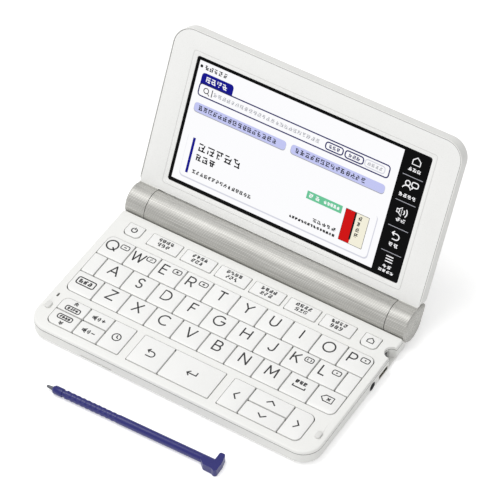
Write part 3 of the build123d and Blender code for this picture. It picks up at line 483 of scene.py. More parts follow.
def solid_boxes(node):
    """(low, high) of each separate solid in a CAD node, left to right and rear to front."""
    bm = bmesh.new()
    bm.from_mesh(frame["nodes"][node].data)
    bmesh.ops.remove_doubles(bm, verts=bm.verts, dist=0.0005 * MM)
    boxes = []
    left = set(bm.verts)
    while left:
        group, edge = set(), [left.pop()]
        while edge:
            v = edge.pop()
            group.add(v)
            for e in v.link_edges:
                w = e.other_vert(v)
                if w in left:
                    left.discard(w)
                    edge.append(w)
        points = [v.co.copy() for v in group]
        low = Vector([min(p[i] for p in points) for i in range(3)])
        high = Vector([max(p[i] for p in points) for i in range(3)])
        boxes.append((low, high, points))
    bm.free()
    return sorted(boxes, key=lambda b: (round(b[0].x / MM), -round(b[0].y / MM)))


def wide_corners(low, high, points):
    """The corners, as (right, rear) pairs, that the CAD rounds widely."""
    wide = []
    for right in (False, True):
        for rear in (False, True):
            corner = Vector((high.x if right else low.x, high.y if rear else low.y))
            gap = min((Vector((p.x, p.y)) - corner).length for p in points)
            if gap > WIDE_GAP:
                wide.append((right, rear))
    return wide


# %% [markdown]
# The cap itself is a block with four rounded uprights and a rounded rim. On a letter key a
# plane cuts across it, and the part in front of the cut is lowered more and more.

# %% Keycap
PAINTED_SHADE_TURN = 0.35
FRONT_LENGTH = 2.3 * MM
FRONT_FALL = 0.3 * MM


def within(v, low, high):
    slack = 1e-6
    return low.x - slack <= v.co.x <= high.x + slack and low.y - slack <= v.co.y <= high.y + slack


def keycap(bm, low, high, wide, slope, edge_mm, corner_mm, wide_mm):
    middle = (low + high) / 2
    made = bmesh.ops.create_cube(bm, size=1.0)["verts"]
    bmesh.ops.scale(bm, vec=high - low, verts=made)
    bmesh.ops.translate(bm, vec=middle, verts=made)
    uprights = {(v.co.x > middle.x, v.co.y > middle.y): e for v in made for e in v.link_edges
                if abs(e.verts[0].co.z - e.verts[1].co.z) > MM / 2}
    broad = [e for corner, e in uprights.items() if corner in wide]
    plain = [e for corner, e in uprights.items() if corner not in wide]
    for edges, radius, segments in ((plain, corner_mm, 3), (broad, wide_mm, 8)):
        if edges:
            bmesh.ops.bevel(bm, geom=[e for e in edges if e.is_valid], offset=radius * MM, affect="EDGES",
                            segments=segments, profile=0.5, material=-1)
    mine = [v for v in bm.verts if within(v, low, high)]
    tops = {f for v in mine for f in v.link_faces if f.normal.z > 0.9}
    rim = list({e for f in tops for e in f.edges})
    bmesh.ops.bevel(bm, geom=rim, offset=edge_mm * MM, affect="EDGES", segments=3, profile=0.5, material=-1)
    if slope:
        crease = low.y + FRONT_LENGTH
        mine = [v for v in bm.verts if within(v, low, high)]
        faces = {f for v in mine for f in v.link_faces}
        edges = {e for f in faces for e in f.edges}
        parts = mine + list(edges) + list(faces)
        bmesh.ops.bisect_plane(bm, geom=parts, plane_co=(0, crease, 0), plane_no=(0, 1, 0))
        for v in bm.verts:
            if within(v, low, high) and v.co.y < crease - 1e-6 and v.co.z > middle.z:
                v.co.z -= FRONT_FALL * ((crease - v.co.y) / FRONT_LENGTH) ** 1.5
    bm.normal_update()
    # Faces turned sideways take the second finish: painted shade for the gaps between the keys.
    for f in bm.faces:
        f.material_index = 1 if f.normal.z < PAINTED_SHADE_TURN else 0


LETTER_KEYS = [n for n in frame["nodes"] if n.startswith("key_") and n != "key_mat"]
OTHER_KEYS = ["power_key", "home_key", "back_key", "enter_key"]
OTHER_KEYS += ["dictionary_keys", "side_keys", "arrow_keys", "blank_keys"]
ROUND_FRONTS = ("power_key", "home_key", "dictionary_keys")
GAP_EXTRA = 0.19 * MM
CAP_DEPTH = 2.0 * MM
CAP_EDGE_MM = 0.13
CAP_CORNER_MM = 0.4
KEY_BOXES = {}
for node in LETTER_KEYS + OTHER_KEYS:
    bm = bmesh.new()
    KEY_BOXES[node] = solid_boxes(node)
    for low, high, points in KEY_BOXES[node]:
        corners = wide_corners(low, high, points)
        cap_low = Vector((low.x + GAP_EXTRA, low.y + GAP_EXTRA, max(low.z, high.z - CAP_DEPTH)))
        cap_high = Vector((high.x - GAP_EXTRA, high.y - GAP_EXTRA, high.z))
        sloping = node in LETTER_KEYS or node == "blank_keys"
        wide_mm = 2.4 if node in ROUND_FRONTS else 3.0
        keycap(bm, cap_low, cap_high, corners, sloping, CAP_EDGE_MM, CAP_CORNER_MM, wide_mm)
    cap = finish_bmesh(node + "_cap", bm, key_abs, body_of_node(node), smooth=40,
                       below=painted_gap_shade)
    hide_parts(node)
print("keycaps:", sum(len(boxes) for boxes in KEY_BOXES.values()))

# %% [markdown]
# Two small rubber bumpers stand at the front corners and keep the closed lid off the keys.
# Each is an upright block with rounded corners, pressed into a shallow pocket, so the same
# cap tool makes it. Its sides take the parting lines' dark painted shade, for the pocket's shadow.

# %% Bumpers
BUMPER_EDGE_MM = 0.3
BUMPER_CORNER_MM = 0.8
bm = bmesh.new()
BUMPER_BOXES = solid_boxes("lid_bumpers")
for low, high, points in BUMPER_BOXES:
    keycap(bm, low, high, [], False, BUMPER_EDGE_MM, BUMPER_CORNER_MM, BUMPER_CORNER_MM)
# The second finish paints shade on the bumpers' sides.
bumpers = finish_bmesh("lid_bumper_blocks", bm, bumper_rubber, body_of_node("lid_bumpers"),
                       smooth=40, below=painted_seam_shade)
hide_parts("lid_bumpers")
print("bumpers", [[round(c / MM, 1) for c in (high - low)] for low, high, points in BUMPER_BOXES])

# %% [markdown]
# ## Printing
# Legends are pad-printed: a film of ink about 0.01 mm thick on the cap. The alphabet is
# a plain drawing-office one, of straight strokes and circle arcs of a single width, so a
# letter and an icon are made in the same way: a curve with a round bevel gives the stroke
# its one width, and the mesh is flattened to a film afterwards.

# %% Ink film
INK_MM = 0.012


def flatten(mesh, place, thick_mm=INK_MM):
    """Squashes a drawn mesh to an ink film and stands it on the place's plane."""
    top = max(v.co.z for v in mesh.vertices)
    mesh.transform(Matrix.Diagonal((1, 1, thick_mm * MM / top, 1)))
    mesh.transform(place)


# %% [markdown]
# An arc and a box with round corners are the outlines that most drawings here need. A
# curve pinches its bevel at a sharp corner, so a line is cut there and both ends run on.

# %% Strokes
def arc(cx, cy, r, start, end, steps=10):
    """Points along an arc, in degrees from the +x direction."""
    angles = [math.radians(start + (end - start) * i / steps) for i in range(steps + 1)]
    return [(cx + r * math.cos(a), cy + r * math.sin(a)) for a in angles]


def round_box(cx, cy, width, height, r):
    """A closed outline with round corners, counted from the lower right."""
    x, y = width / 2 - r, height / 2 - r
    return (arc(cx + x, cy - y, r, -90, 0, 3) + arc(cx + x, cy + y, r, 0, 90, 3)
            + arc(cx - x, cy + y, r, 90, 180, 3) + arc(cx - x, cy - y, r, 180, 270, 3))


def split_at_corners(points, closed, reach):
    """Open runs that end a little past each sharp corner, so that no corner is pinched."""
    loop = [Vector(p) for p in points]
    if closed:
        return [(points, True)]
    runs, run = [], [loop[0]]
    for before, here, after in zip(loop, loop[1:], loop[2:]):
        run.append(here)
        if (here - before).angle(after - here, 0) > math.radians(50):
            run[-1] = here + (here - before).normalized() * reach
            runs.append(run)
            run = [here - (after - here).normalized() * reach]
    run.append(loop[-1])
    runs.append(run)
    return [([(p.x, p.y) for p in one], False) for one in runs]


def stroke_mesh(name, lines, width_mm):
    """Lines, each (points in mm, closed or not), as one mesh of strokes of one width."""
    lines = [part for points, closed in lines for part in split_at_corners(points, closed, width_mm * 0.35)]
    curve = bpy.data.curves.new(name, "CURVE")
    curve.dimensions = "3D"
    curve.bevel_depth = width_mm * MM / 2
    curve.bevel_resolution = 1
    curve.use_fill_caps = True
    for points, closed in lines:
        spline = curve.splines.new("POLY")
        spline.points.add(len(points) - 1)
        for point, (x, y) in zip(spline.points, points):
            point.co = (x * MM, y * MM, 0, 1)
        spline.use_cyclic_u = closed
    holder = bpy.data.objects.new(name, curve)
    bpy.context.scene.collection.objects.link(holder)
    mesh = bpy.data.meshes.new_from_object(holder.evaluated_get(bpy.context.evaluated_depsgraph_get()))
    bpy.data.objects.remove(holder)
    return mesh


def joined(name, meshes):
    """One mesh from several."""
    bm = bmesh.new()
    for mesh in meshes:
        bm.from_mesh(mesh)
    out = bpy.data.meshes.new(name)
    bm.to_mesh(out)
    bm.free()
    return out


# %% [markdown]
# A letter is drawn on a grid from -3 to 3 and then scaled, so that it is 6 mm tall with
# its stroke. It sits a little behind its key's middle, clear of the sloping front. Keys
# that also type a sign have it in a small frame at the upper right, and their letter
# moves left.

# %% The alphabet
LETTERS = {
    "a": [([(-2.6, -3), (0, 3), (2.6, -3)], False), ([(-1.75, -1.0), (1.75, -1.0)], False)],
    "b": [([(-1.9, 0.15), (0.5, 0.15)] + arc(0.5, -1.43, 1.57, 90, -90) + [(-1.9, -3), (-1.9, 3), (0.3, 3)]
           + arc(0.3, 1.57, 1.42, 90, -90), False)],
    "c": [(arc(0.3, 0, 3.05, 48, 312, 16), False)],
    "d": [([(-2.2, -3), (-2.2, 3), (-0.5, 3)] + arc(-0.5, 0, 3, 90, -90, 12), True)],
    "e": [([(1.7, 3), (-1.6, 3), (-1.6, -3), (1.7, -3)], False), ([(-1.6, 0.15), (1.4, 0.15)], False)],
    "f": [([(1.7, 3), (-1.5, 3), (-1.5, -3)], False), ([(-1.5, 0.1), (1.3, 0.1)], False)],
    "g": [(arc(0, 0, 3.05, 46, 352, 18) + [(3.05, 0), (0.6, 0)], False)],
    "h": [([(-2.2, -3), (-2.2, 3)], False), ([(2.2, -3), (2.2, 3)], False),
          ([(-2.2, 0.1), (2.2, 0.1)], False)],
    "i": [([(0, -3), (0, 3)], False)],
    "j": [([(1.2, 3), (1.2, -1.4)] + arc(-0.4, -1.4, 1.6, 0, -165, 8), False)],
    "k": [([(-1.9, -3), (-1.9, 3)], False), ([(1.9, 3), (-1.9, -0.6)], False),
          ([(-0.6, 0.65), (2.2, -3)], False)],
    "l": [([(-1.4, 3), (-1.4, -3), (1.7, -3)], False)],
    "m": [([(-2.8, -3), (-2.4, 3), (0, -1.4), (2.4, 3), (2.8, -3)], False)],
    "n": [([(-2.2, -3), (-2.2, 3), (2.2, -3), (2.2, 3)], False)],
    "o": [(arc(0, 0, 3.1, 0, 345, 23), True)],
    "p": [([(-1.7, -3), (-1.7, 3), (0.4, 3)] + arc(0.4, 1.3, 1.7, 90, -90) + [(-1.7, -0.4)], False)],
    "q": [(arc(0, 0, 3.1, 0, 345, 23), True), ([(0.9, -1.1), (2.9, -3.3)], False)],
    "r": [([(-1.7, -3), (-1.7, 3), (0.4, 3)] + arc(0.4, 1.35, 1.65, 90, -90) + [(-1.7, -0.3)], False),
          ([(0.3, -0.3), (2.0, -3)], False)],
    "s": [(arc(0, 1.5, 1.5, 25, 270, 9) + arc(0, -1.5, 1.5, 90, -155, 9), False)],
    "t": [([(-2.2, 3), (2.2, 3)], False), ([(0, 3), (0, -3)], False)],
    "u": [([(-2.1, 3), (-2.1, -0.9)] + arc(0, -0.9, 2.1, 180, 360, 12) + [(2.1, 3)], False)],
    "v": [([(-2.5, 3), (0, -3), (2.5, 3)], False)],
    "w": [([(-3.3, 3), (-1.65, -3), (0, 2.6), (1.65, -3), (3.3, 3)], False)],
    "x": [([(-2.2, 3), (2.3, -3)], False), ([(2.2, 3), (-2.3, -3)], False)],
    "y": [([(-2.4, 3), (0, 0.1), (2.4, 3)], False), ([(0, 0.1), (0, -3)], False)],
    "z": [([(-2.0, 3), (2.1, 3), (-2.2, -3), (2.2, -3)], False)],
}
LETTER_SCALE = 0.9
LETTER_STROKE = 0.74


def on_key(x_mm, y_mm):
    """The plane of the key tops at a point."""
    return Matrix.Translation(Vector((x_mm * MM, y_mm * MM, KEY_TOP + 0.001 * MM)))


def centre_mm(box):
    low, high = box[0], box[1]
    return (low.x + high.x) / 2 / MM, (low.y + high.y) / 2 / MM


def sized(lines, scale):
    return [([(x * scale, y * scale) for x, y in points], closed) for points, closed in lines]


# %% Letter legends
ALONE_X = -0.3
BESIDE_SIGN_X = -2.7
LETTER_Y = 1.2
SIGN_X = 3.2
SIGN_Y = 2.8
SIGN_STROKE = 0.5
SIGN_FRAME = [(round_box(0, 0, 4.1, 2.5, 0.75), True)]
SIGNS = {
    "q": [([(-0.7, 0), (0.7, 0)], False)],
    "w": [([(-0.6, -0.45), (0.6, 0.45)], False)],
    "e": [([(-0.5, -0.5), (0.5, 0.5)], False), ([(-0.5, 0.5), (0.5, -0.5)], False)],
    "r": [([(-0.65, 0), (0.65, 0)], False), ([(0, -0.6), (0, 0.6)], False)],
    "k": [(arc(-0.3, 0, 0.65, 125, 235, 4), False), (arc(0.3, 0, 0.65, -55, 55, 4), False)],
    "l": [(arc(0, 0, 0.2, 0, 300, 5), True)],
    "p": [(arc(0, 0, 0.2, 0, 300, 5), True)],
}


def print_on(node, name, mesh):
    return finish(name, mesh, ink, body_of_node(node), smooth=0)


for letter, lines in LETTERS.items():
    node = "key_" + letter
    x, y = centre_mm(KEY_BOXES[node][0])
    shift = BESIDE_SIGN_X if letter in SIGNS else ALONE_X
    glyph = stroke_mesh("letter_" + letter, sized(lines, LETTER_SCALE), LETTER_STROKE)
    flatten(glyph, on_key(x + shift, y + LETTER_Y))
    parts = [glyph]
    if letter in SIGNS:
        sign = stroke_mesh("sign_" + letter, SIGN_FRAME + SIGNS[letter], SIGN_STROKE)
        flatten(sign, on_key(x + SIGN_X, y + SIGN_Y))
        parts.append(sign)
    print_on(node, "legend_" + letter, joined("legend_" + letter, parts))
print("letters printed:", len(LETTERS))

# %% [markdown]
# The other keys have plain signs that mean the same everywhere: an arrow to go back, a
# bent one to enter, a clock for what was looked up before, a speaker for the volume. Where the
# real keys carry small print, there is only a texture of ticks at the same size and
# darkness: a few level strokes and two uprights in each cell, which spell nothing.

# %% Ticks for small print
def ticks(x0, x1, y, height, pitch, seed):
    """A row of cells, each with three level strokes and two uprights of uneven length."""
    pick = random.Random(seed)
    lines = []
    cells = max(1, round((x1 - x0) / pitch))
    pitch = (x1 - x0) / cells
    for cell in range(cells):
        left = x0 + cell * pitch
        wide = pitch * 0.78
        for level in (-0.46, 0.02, 0.5):
            start = pick.choice((0.0, 0.0, 0.22, 0.4)) * wide
            end = pick.choice((0.6, 0.8, 1.0, 1.0)) * wide
            lines.append(([(left + start, y + level * height), (left + end, y + level * height)], False))
        for side in (0.22, 0.72):
            post = left + (side + pick.uniform(-0.12, 0.12)) * wide
            foot, head = pick.choice(((-0.5, 0.5), (-0.5, 0.05), (0.0, 0.62), (-0.6, 0.3)))
            lean = pick.choice((0, 0, -0.12, 0.12)) * wide
            lines.append(([(post - lean, y + foot * height), (post + lean, y + head * height)], False))
    return lines


# %% Icon legends
ICONS = {
    "power": [(arc(0, 0, 1.3, 60, -240, 14), False), ([(0, 0.3), (0, 1.75)], False)],
    "home": [([(-1.5, -1.2), (1.5, -1.2), (1.5, 0.3), (0, 1.6), (-1.5, 0.3)], True)],
    "shift": [(round_box(0, 0, 9.2, 4.0, 0.9), True)] + ticks(-3.4, 3.6, 0, 1.7, 2.3, 31),
    "space": ([([(-3.0, -0.3), (-3.0, -1.4), (3.0, -1.4), (3.0, -0.3)], False)]
              + ticks(-2.8, 3.0, 1.6, 1.4, 1.9, 32)),
    "delete": [([(-2.9, 0), (-1.3, 1.7), (2.9, 1.7), (2.9, -1.7), (-1.3, -1.7)], True),
               ([(0.0, -0.75), (1.5, 0.75)], False), ([(0.0, 0.75), (1.5, -0.75)], False)],
    "back": [(arc(0.5, -0.2, 1.5, -90, 90, 8) + [(-2.1, 1.3)], False),
             ([(-1.0, 2.4), (-2.1, 1.3), (-1.0, 0.2)], False), ([(0.5, -1.7), (-1.9, -1.7)], False)],
    "enter": [([(2.3, 1.7), (2.3, -0.3), (-2.3, -0.3)], False),
              ([(-0.9, 1.1), (-2.3, -0.3), (-0.9, -1.7)], False)],
    "history": [(arc(0, 0, 2.0, 0, 340, 16), True), ([(0, 1.25), (0, 0), (1.0, -0.55)], False)],
    "left": [([(0.9, 2.1), (-1.0, 0), (0.9, -2.1)], False)],
    "right": [([(-0.9, 2.1), (1.0, 0), (-0.9, -2.1)], False)],
    "up": [([(-2.1, -0.8), (0, 0.9), (2.1, -0.8)], False)],
    "down": [([(-2.1, 0.8), (0, -0.9), (2.1, 0.8)], False)],
    "page_up": [(round_box(0.3, -1.4, 7.4, 2.5, 0.8), True), ([(-0.9, 2.1), (0, 2.9), (0.9, 2.1)], False),
                ([(-0.9, 1.2), (0, 2.0), (0.9, 1.2)], False)] + ticks(-2.4, 3.2, -1.4, 0.9, 1.3, 33),
    "page_down": [(round_box(0.0, 1.2, 7.4, 2.5, 0.8), True),
                  ([(-0.9, -2.2), (0, -3.0), (0.9, -2.2)], False),
                  ([(-0.9, -1.3), (0, -2.1), (0.9, -1.3)], False)] + ticks(-2.7, 2.9, 1.2, 0.9, 1.3, 34),
}
HORN = [(-3.2, -0.5), (-2.4, -0.5), (-1.4, -1.4), (-1.4, 1.4), (-2.4, 0.5), (-3.2, 0.5)]
SPEAKER_ICON = [(HORN, True), ([(-2.8, 0), (-1.7, 0)], False), ([(-1.8, -0.7), (-1.8, 0.7)], False),
                (arc(-1.2, 0, 0.9, -42, 42, 4), False), (arc(-1.2, 0, 1.7, -42, 42, 5), False)]
ICONS["louder"] = SPEAKER_ICON + [([(1.4, 0.1), (3.2, 0.1)], False), ([(2.3, -0.8), (2.3, 1.0)], False)]
ICONS["softer"] = SPEAKER_ICON + [([(1.4, 0), (3.2, 0)], False)]


def icon_on(node, index, icon, dy, width):
    x, y = centre_mm(KEY_BOXES[node][index])
    mesh = stroke_mesh(f"icon_{node}_{index}", icon, width)
    flatten(mesh, on_key(x, y + dy))
    return mesh


def print_group(node, icons, width, dy=0.0):
    meshes = [icon_on(node, index, icon, dy=dy, width=width) for index, icon in enumerate(icons)]
    print_on(node, "legend_" + node, joined("legend_" + node, meshes))


SINGLE = [("power_key", "power", 0.2), ("home_key", "home", 0.2), ("key_shift", "shift", 1.1),
          ("key_space", "space", 1.0), ("key_delete", "delete", 0.8), ("back_key", "back", 0.0),
          ("enter_key", "enter", 0.0)]
for node, icon, dy in SINGLE:
    print_on(node, "legend_" + node, icon_on(node, 0, ICONS[icon], dy=dy, width=0.62))
BOOK_ROWS = [ticks(-4.1, 4.2, 1.5, 1.5, 2.1, seed) + ticks(-3.2, 3.3, -1.2, 1.7, 2.15, seed + 50)
             for seed in range(6)]
print_group("dictionary_keys", BOOK_ROWS, width=0.48, dy=0.1)
print_group("side_keys", [ICONS[icon] for icon in ("page_up", "page_down", "louder", "softer", "history")],
            width=0.56)
print_group("arrow_keys", [ICONS[icon] for icon in ("left", "up", "down", "right")], width=0.66)
print("legends printed")

# %% [markdown]
# ## What the display shows
# A search page: a title line, a tab over a search box, two wide buttons, and a card with
# a book on it. A column of five icons is on the right. Each colour is one piece, made of
# round-cornered plates and strokes, in layers a hundredth of a millimetre apart. Words are
# the same ticks as on the keys, in the size and weight of each line.

# %% Screen drawing helpers
def on_screen(layer):
    """The glass face, raised by a number of thin layers."""
    return LID @ Matrix.Translation(Vector((0, 0, SCREEN_W + (layer + 1) * 0.012 * MM)))


def plate(bm, x0, x1, v0, v1, r=0.0):
    made = bmesh.ops.create_grid(bm, x_segments=1, y_segments=1, size=0.5)["verts"]
    bmesh.ops.scale(bm, vec=((x1 - x0) * MM, (v1 - v0) * MM, 1), verts=made)
    bmesh.ops.translate(bm, vec=((x0 + x1) / 2 * MM, (v0 + v1) / 2 * MM, 0), verts=made)
    if r:
        bmesh.ops.bevel(bm, geom=made, offset=r * MM, affect="VERTICES", segments=4, profile=0.5,
                        material=-1)


def screen_plates(name, material, layer, plates):
    bm = bmesh.new()
    for numbers in plates:
        plate(bm, *numbers)
    bmesh.ops.transform(bm, matrix=on_screen(layer), verts=bm.verts)
    return finish_bmesh(name, bm, material, "lid", smooth=0)


def screen_strokes(name, material, layer, lines, width):
    mesh = stroke_mesh(name, lines, width)
    flatten(mesh, on_screen(layer), 0.005)
    return finish(name, mesh, material, "lid", smooth=0)


# %% The page
screen_plates("screen_page", lit_white, 0, [(-58.9, 46.7, 16.8, 75.6)])
screen_plates("screen_tab", lit_navy, 1, [(-56.3, -39.6, 63.5, 70.6, 1.6)])
screen_plates("screen_card_bar", lit_navy, 4, [(-52.9, -51.6, 21.8, 39.3)])
screen_plates("screen_search_fill", lit_white, 2, [(-56.2, 42.7, 59.6, 65.5, 1.3)])
screen_strokes("screen_search_box", lit_line, 3, [
    (round_box(-6.8, 62.5, 98.8, 5.9, 1.4), True), (round_box(14.7, 62.4, 8.8, 3.4, 1.2), True),
    (round_box(24.9, 62.4, 9.2, 3.4, 1.2), True)], 0.62)
screen_plates("screen_pill_edges", lit_grey, 1, [(-56.4, -8.0, 51.2, 56.0, 1.6),
                                                 (-5.5, 42.8, 51.4, 56.2, 1.6)])
screen_plates("screen_pills", lit_lavender, 2, [(-56.3, -8.1, 51.6, 56.0, 1.5),
                                                (-5.4, 42.7, 51.8, 56.2, 1.5)])
screen_plates("screen_card_shadow", lit_faint, 1, [(-55.7, 43.5, 19.2, 41.2, 2.0)])
screen_plates("screen_card", lit_white, 2, [(-55.6, 43.0, 19.9, 41.4, 1.9), (30.4, 40.4, 60.8, 64.0, 1.2)])
screen_strokes("screen_card_edge", lit_faint, 3, [(round_box(35.4, 62.4, 10.0, 3.4, 1.2), True)], 0.5)
screen_strokes("screen_pointer", lit_ink, 4, [
    (arc(-52.4, 62.7, 1.25, 0, 330, 10), True), ([(-51.4, 61.7), (-50.5, 60.8)], False),
    ([(-49.3, 60.7), (-49.3, 64.3)], False)], 0.42)
screen_strokes("screen_placeholder", lit_grey, 4, (
    ticks(-48.4, 7.4, 62.5, 1.5, 2.3, 3) + ticks(31.8, 39.6, 62.4, 1.2, 2.0, 4)), 0.3)
screen_plates("screen_bullet", lit_ink, 2, [(-58.2, -56.8, 72.4, 73.8, 0.55)])
screen_strokes("screen_small_words", lit_ink, 4, (
    ticks(-55.6, -43.6, 73.1, 1.8, 2.5, 5) + ticks(-54.0, -12.6, 53.8, 1.9, 2.6, 6)
    + ticks(-3.0, 33.4, 54.0, 1.9, 2.6, 7) + ticks(-49.5, -17.8, 23.7, 1.4, 2.1, 10)
    + ticks(13.6, 26.0, 26.3, 1.3, 2.3, 11) + ticks(2.0, 26.0, 23.5, 0.9, 1.6, 12)), 0.4)
screen_strokes("screen_large_words", lit_ink, 4, (
    ticks(-49.2, -26.2, 36.0, 3.3, 4.5, 8) + ticks(-49.4, -38.7, 30.9, 2.5, 3.5, 9)), 0.62)
screen_strokes("screen_button_words", lit_line, 4, (
    ticks(12.0, 17.8, 62.4, 1.3, 1.9, 13) + ticks(22.0, 28.2, 62.4, 1.3, 1.8, 14)), 0.36)
screen_plates("screen_badge", lit_green, 3, [(7.7, 25.9, 34.8, 38.6)])
screen_strokes("screen_badge_words", lit_white, 4, (
    ticks(9.0, 14.9, 36.7, 1.5, 2.6, 15) + ticks(16.6, 24.9, 36.7, 1.2, 1.8, 16)
    + ticks(-53.8, -42.2, 67.9, 2.2, 3.3, 17)), 0.42)
screen_plates("screen_book_edge", lit_ink, 3, [(27.6, 39.7, 22.9, 38.6, 0.2)])
screen_plates("screen_book_cover", lit_cream, 4, [(27.8, 39.5, 23.1, 38.4)])
screen_plates("screen_book_spine", lit_red, 5, [(27.8, 33.0, 23.1, 38.4)])
screen_plates("screen_book_band", lit_ink, 6, [(32.4, 33.3, 25.0, 38.3)])
screen_strokes("screen_book_words", lit_ink, 6, (
    ticks(34.6, 36.8, 36.4, 1.6, 2.2, 41) + ticks(34.6, 36.8, 33.6, 1.6, 2.2, 42)
    + ticks(34.6, 36.8, 30.8, 1.6, 2.2, 43) + ticks(34.6, 36.8, 28.0, 1.6, 2.2, 44)), 0.36)

# %% [markdown]
# Five icons stand in the black column at the right, each over a word and parted by thin
# rules: a house, a listener with a speech bubble, a loudspeaker, a back arrow and a menu.

# %% The icon column
COLUMN_X = 53.7


def in_column(points, v):
    """Points given about an icon's middle, moved to its height in the column."""
    return [(COLUMN_X + x, v + y) for x, y in points]


COLUMN_ICONS = [
    (in_column([(-1.9, -1.5), (1.9, -1.5), (1.9, 0.5), (0, 2.1), (-1.9, 0.5)], 72.3), True),
    (in_column(arc(-1.4, 1.4, 1.2, 0, 340, 8), 60.2), True),
    (in_column(arc(-1.4, -1.9, 2.1, 15, 165, 6), 60.2), False),
    (in_column(round_box(2.2, 1.6, 3.2, 2.4, 0.9), 60.2), True),
    (in_column([(1.6, 0.3), (0.9, -0.7)], 60.2), False),
    (in_column([(-2.9, -0.8), (-1.9, -0.8), (-0.5, -2.1), (-0.5, 2.1), (-1.9, 0.8),
                (-2.9, 0.8)], 47.7), True),
    (in_column([(-1.6, -0.5), (-1.6, 0.5)], 47.7), False),
    (in_column(arc(-0.7, 0, 1.6, -40, 40, 4), 47.7), False),
    (in_column(arc(-0.7, 0, 2.9, -40, 40, 5), 47.7), False),
    (in_column(arc(0.3, -0.1, 1.4, -90, 90, 8) + [(-1.9, 1.3)], 35.5), False),
    (in_column([(-1.0, 2.3), (-2.0, 1.3), (-1.0, 0.3)], 35.5), False),
    (in_column([(0.3, -1.5), (-1.5, -1.5)], 35.5), False),
]
COLUMN_ICONS += [(in_column([(-1.8, 0), (1.8, 0)], v), False) for v in (22.9, 24.2, 25.5)]
screen_strokes("screen_column_icons", lit_white, 1, COLUMN_ICONS, 0.5)
screen_strokes("screen_column_rules", lit_grey, 1,
               [([(48.7, v), (58.8, v)], False) for v in (64.95, 52.45, 39.75, 27.45)], 0.3)
screen_strokes("screen_column_words", lit_white, 1, (
    ticks(50.6, 57.2, 68.3, 1.3, 2.1, 21) + ticks(49.6, 58.2, 55.5, 1.4, 2.1, 22)
    + ticks(51.4, 56.6, 43.7, 1.5, 2.4, 23) + ticks(51.4, 56.4, 31.3, 1.5, 2.4, 24)
    + ticks(51.4, 56.2, 20.4, 1.2, 2.3, 25) + ticks(50.0, 57.8, 18.1, 1.0, 1.9, 26)), 0.34)
print("page drawn")

# %% [markdown]
# The lid's own lines are thin strokes of painted shade on the screen frame's plane: a dark
# one inside the rim on three sides, for the shadow in the gap between frame and cover, and a
# pale one where the frame begins to slope down to the glass, for the slope's shade.

# %% Lid parting lines, painted shade
FACE_W = -1.0 * MM


def on_bezel(name, lines, material, width):
    mesh = stroke_mesh(name, lines, width)
    flatten(mesh, LID @ Matrix.Translation(Vector((0, 0, FACE_W + 0.002 * MM))), 0.02)
    return finish(name, mesh, material, "lid", smooth=0)


RIM_SHADE_LINE = [(-73.52, 12.0)] + arc(-64.5, 79.0, 9.02, 180, 90, 10)
RIM_SHADE_LINE += arc(64.5, 79.0, 9.02, 90, 0, 10) + [(73.52, 12.0)]
on_bezel("lid_seam_painted_shade", [(RIM_SHADE_LINE, False)], painted_seam_shade, 0.3)
on_bezel("window_slope_painted_shade_strip", [(round_box(0, 46.1, 125.2, 66.6, 1.2), True)], painted_slope_shade, 0.3)

# %% [markdown]
# ## Studio
# A pale floor, an even sky and two large soft lamps. The floor must look white to the
# camera but still take the object's shadow, so its material adds a little light of its
# own for camera and mirror rays only, and stays a plain matt floor for everything else.

# %% Floor
def studio_floor(name):
    material, tree, shader = surface(name)
    grain = add(tree, "ShaderNodeTexNoise", {"Vector": place_of(tree), "Scale": 1 / (3 * MM), "Detail": 2.0})
    tint = add(tree, "ShaderNodeMix", {"Factor": grain.outputs["Fac"], "A": srgb("#F4F4F4"),
                                       "B": srgb("#F1F1F1")}, data_type="RGBA")
    tree.links.new(tint.outputs["Result"], shader.inputs["Base Color"])
    shader.inputs["Roughness"].default_value = 0.9
    shader.inputs["Specular IOR Level"].default_value = 0.0
    path = add(tree, "ShaderNodeLightPath")
    seen = add(tree, "ShaderNodeMath", {0: path.outputs["Is Camera Ray"], 1: path.outputs["Is Glossy Ray"]},
               operation="MAXIMUM")
    seen = add(tree, "ShaderNodeMath", {0: seen.outputs[0], 1: path.outputs["Is Transmission Ray"]},
               operation="MAXIMUM")
    glow = add(tree, "ShaderNodeEmission", {"Color": srgb("#FFFFFF"), "Strength": 0.4})
    both = add(tree, "ShaderNodeAddShader", {0: shader.outputs["BSDF"], 1: glow.outputs["Emission"]})
    pick = add(tree, "ShaderNodeMixShader", {0: seen.outputs[0], 1: shader.outputs["BSDF"],
                                             2: both.outputs["Shader"]})
    tree.links.new(pick.outputs["Shader"], tree.nodes["Material Output"].inputs["Surface"])
    return material


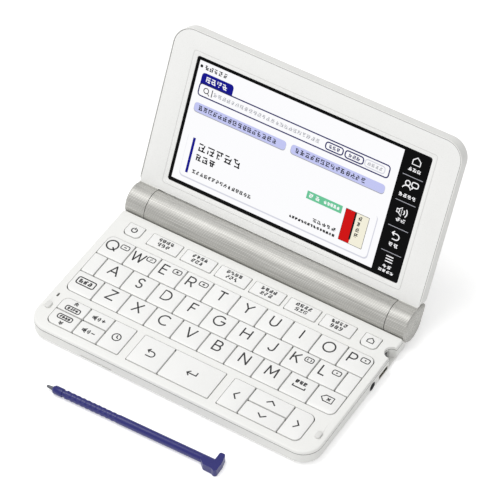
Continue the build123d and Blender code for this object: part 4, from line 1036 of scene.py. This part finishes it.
bm = bmesh.new()
bmesh.ops.create_circle(bm, cap_ends=True, segments=64, radius=4.0)
mesh = bpy.data.meshes.new("floor")
bm.to_mesh(mesh)
bm.free()
floor = bpy.data.objects.new("floor", mesh)
bpy.context.scene.collection.objects.link(floor)
mesh.materials.append(studio_floor("studio_paper"))

# %% [markdown]
# The sky is even and lights the object from all sides. One soft lamp stands almost
# overhead, so that upright faces come out darker than level ones, and a weak one fills in
# from the front.

# %% Sky and lamps
world = bpy.data.worlds.new("studio_sky")
world.use_nodes = True
sky = world.node_tree
rays = add(sky, "ShaderNodeLightPath")
bright = add(sky, "ShaderNodeMapRange", {"Value": rays.outputs["Is Camera Ray"], "To Min": 0.54,
                                          "To Max": 1.0})
sky.links.new(bright.outputs["Result"], sky.nodes["Background"].inputs["Strength"])
sky.nodes["Background"].inputs["Color"].default_value = (1, 1, 1, 1)
bpy.context.scene.world = world


def softbox(name, place, target, size, watts):
    lamp = bpy.data.lights.new(name, "AREA")
    lamp.shape = "SQUARE"
    lamp.size = size
    lamp.energy = watts
    holder = bpy.data.objects.new(name, lamp)
    holder.location = place
    holder.rotation_euler = (Vector(target) - Vector(place)).to_track_quat("-Z", "Y").to_euler()
    bpy.context.scene.collection.objects.link(holder)


softbox("key_softbox", (-0.35, -0.1, 1.1), (0, 0, 0.03), 0.7, 6.4)
softbox("fill_softbox", (0.1, -1.1, 0.6), (0, 0, 0.05), 0.8, 2.3)

# %% [markdown]
# ## Camera
# The photograph's camera stands 1.35 m away and looks down at about 48 degrees, from 32
# degrees to the right of the front. A long lens keeps the verticals nearly parallel.

# %% Camera
CAMERA_PLACE = Vector((0.47430, -0.73866, 1.02552))
CAMERA_LOOK = Vector((-0.35465, 0.56862, -0.74222))
camera_data = bpy.data.cameras.new("product_camera")
camera_data.sensor_width = 36.0
camera_data.lens = 218.06
camera_data.clip_start = 0.05
camera_data.clip_end = 20.0
camera = bpy.data.objects.new("product_camera", camera_data)
camera.location = CAMERA_PLACE
camera.rotation_euler = CAMERA_LOOK.to_track_quat("-Z", "Y").to_euler()
bpy.context.scene.collection.objects.link(camera)
bpy.context.scene.camera = camera
bpy.context.scene.view_settings.view_transform = "Standard"
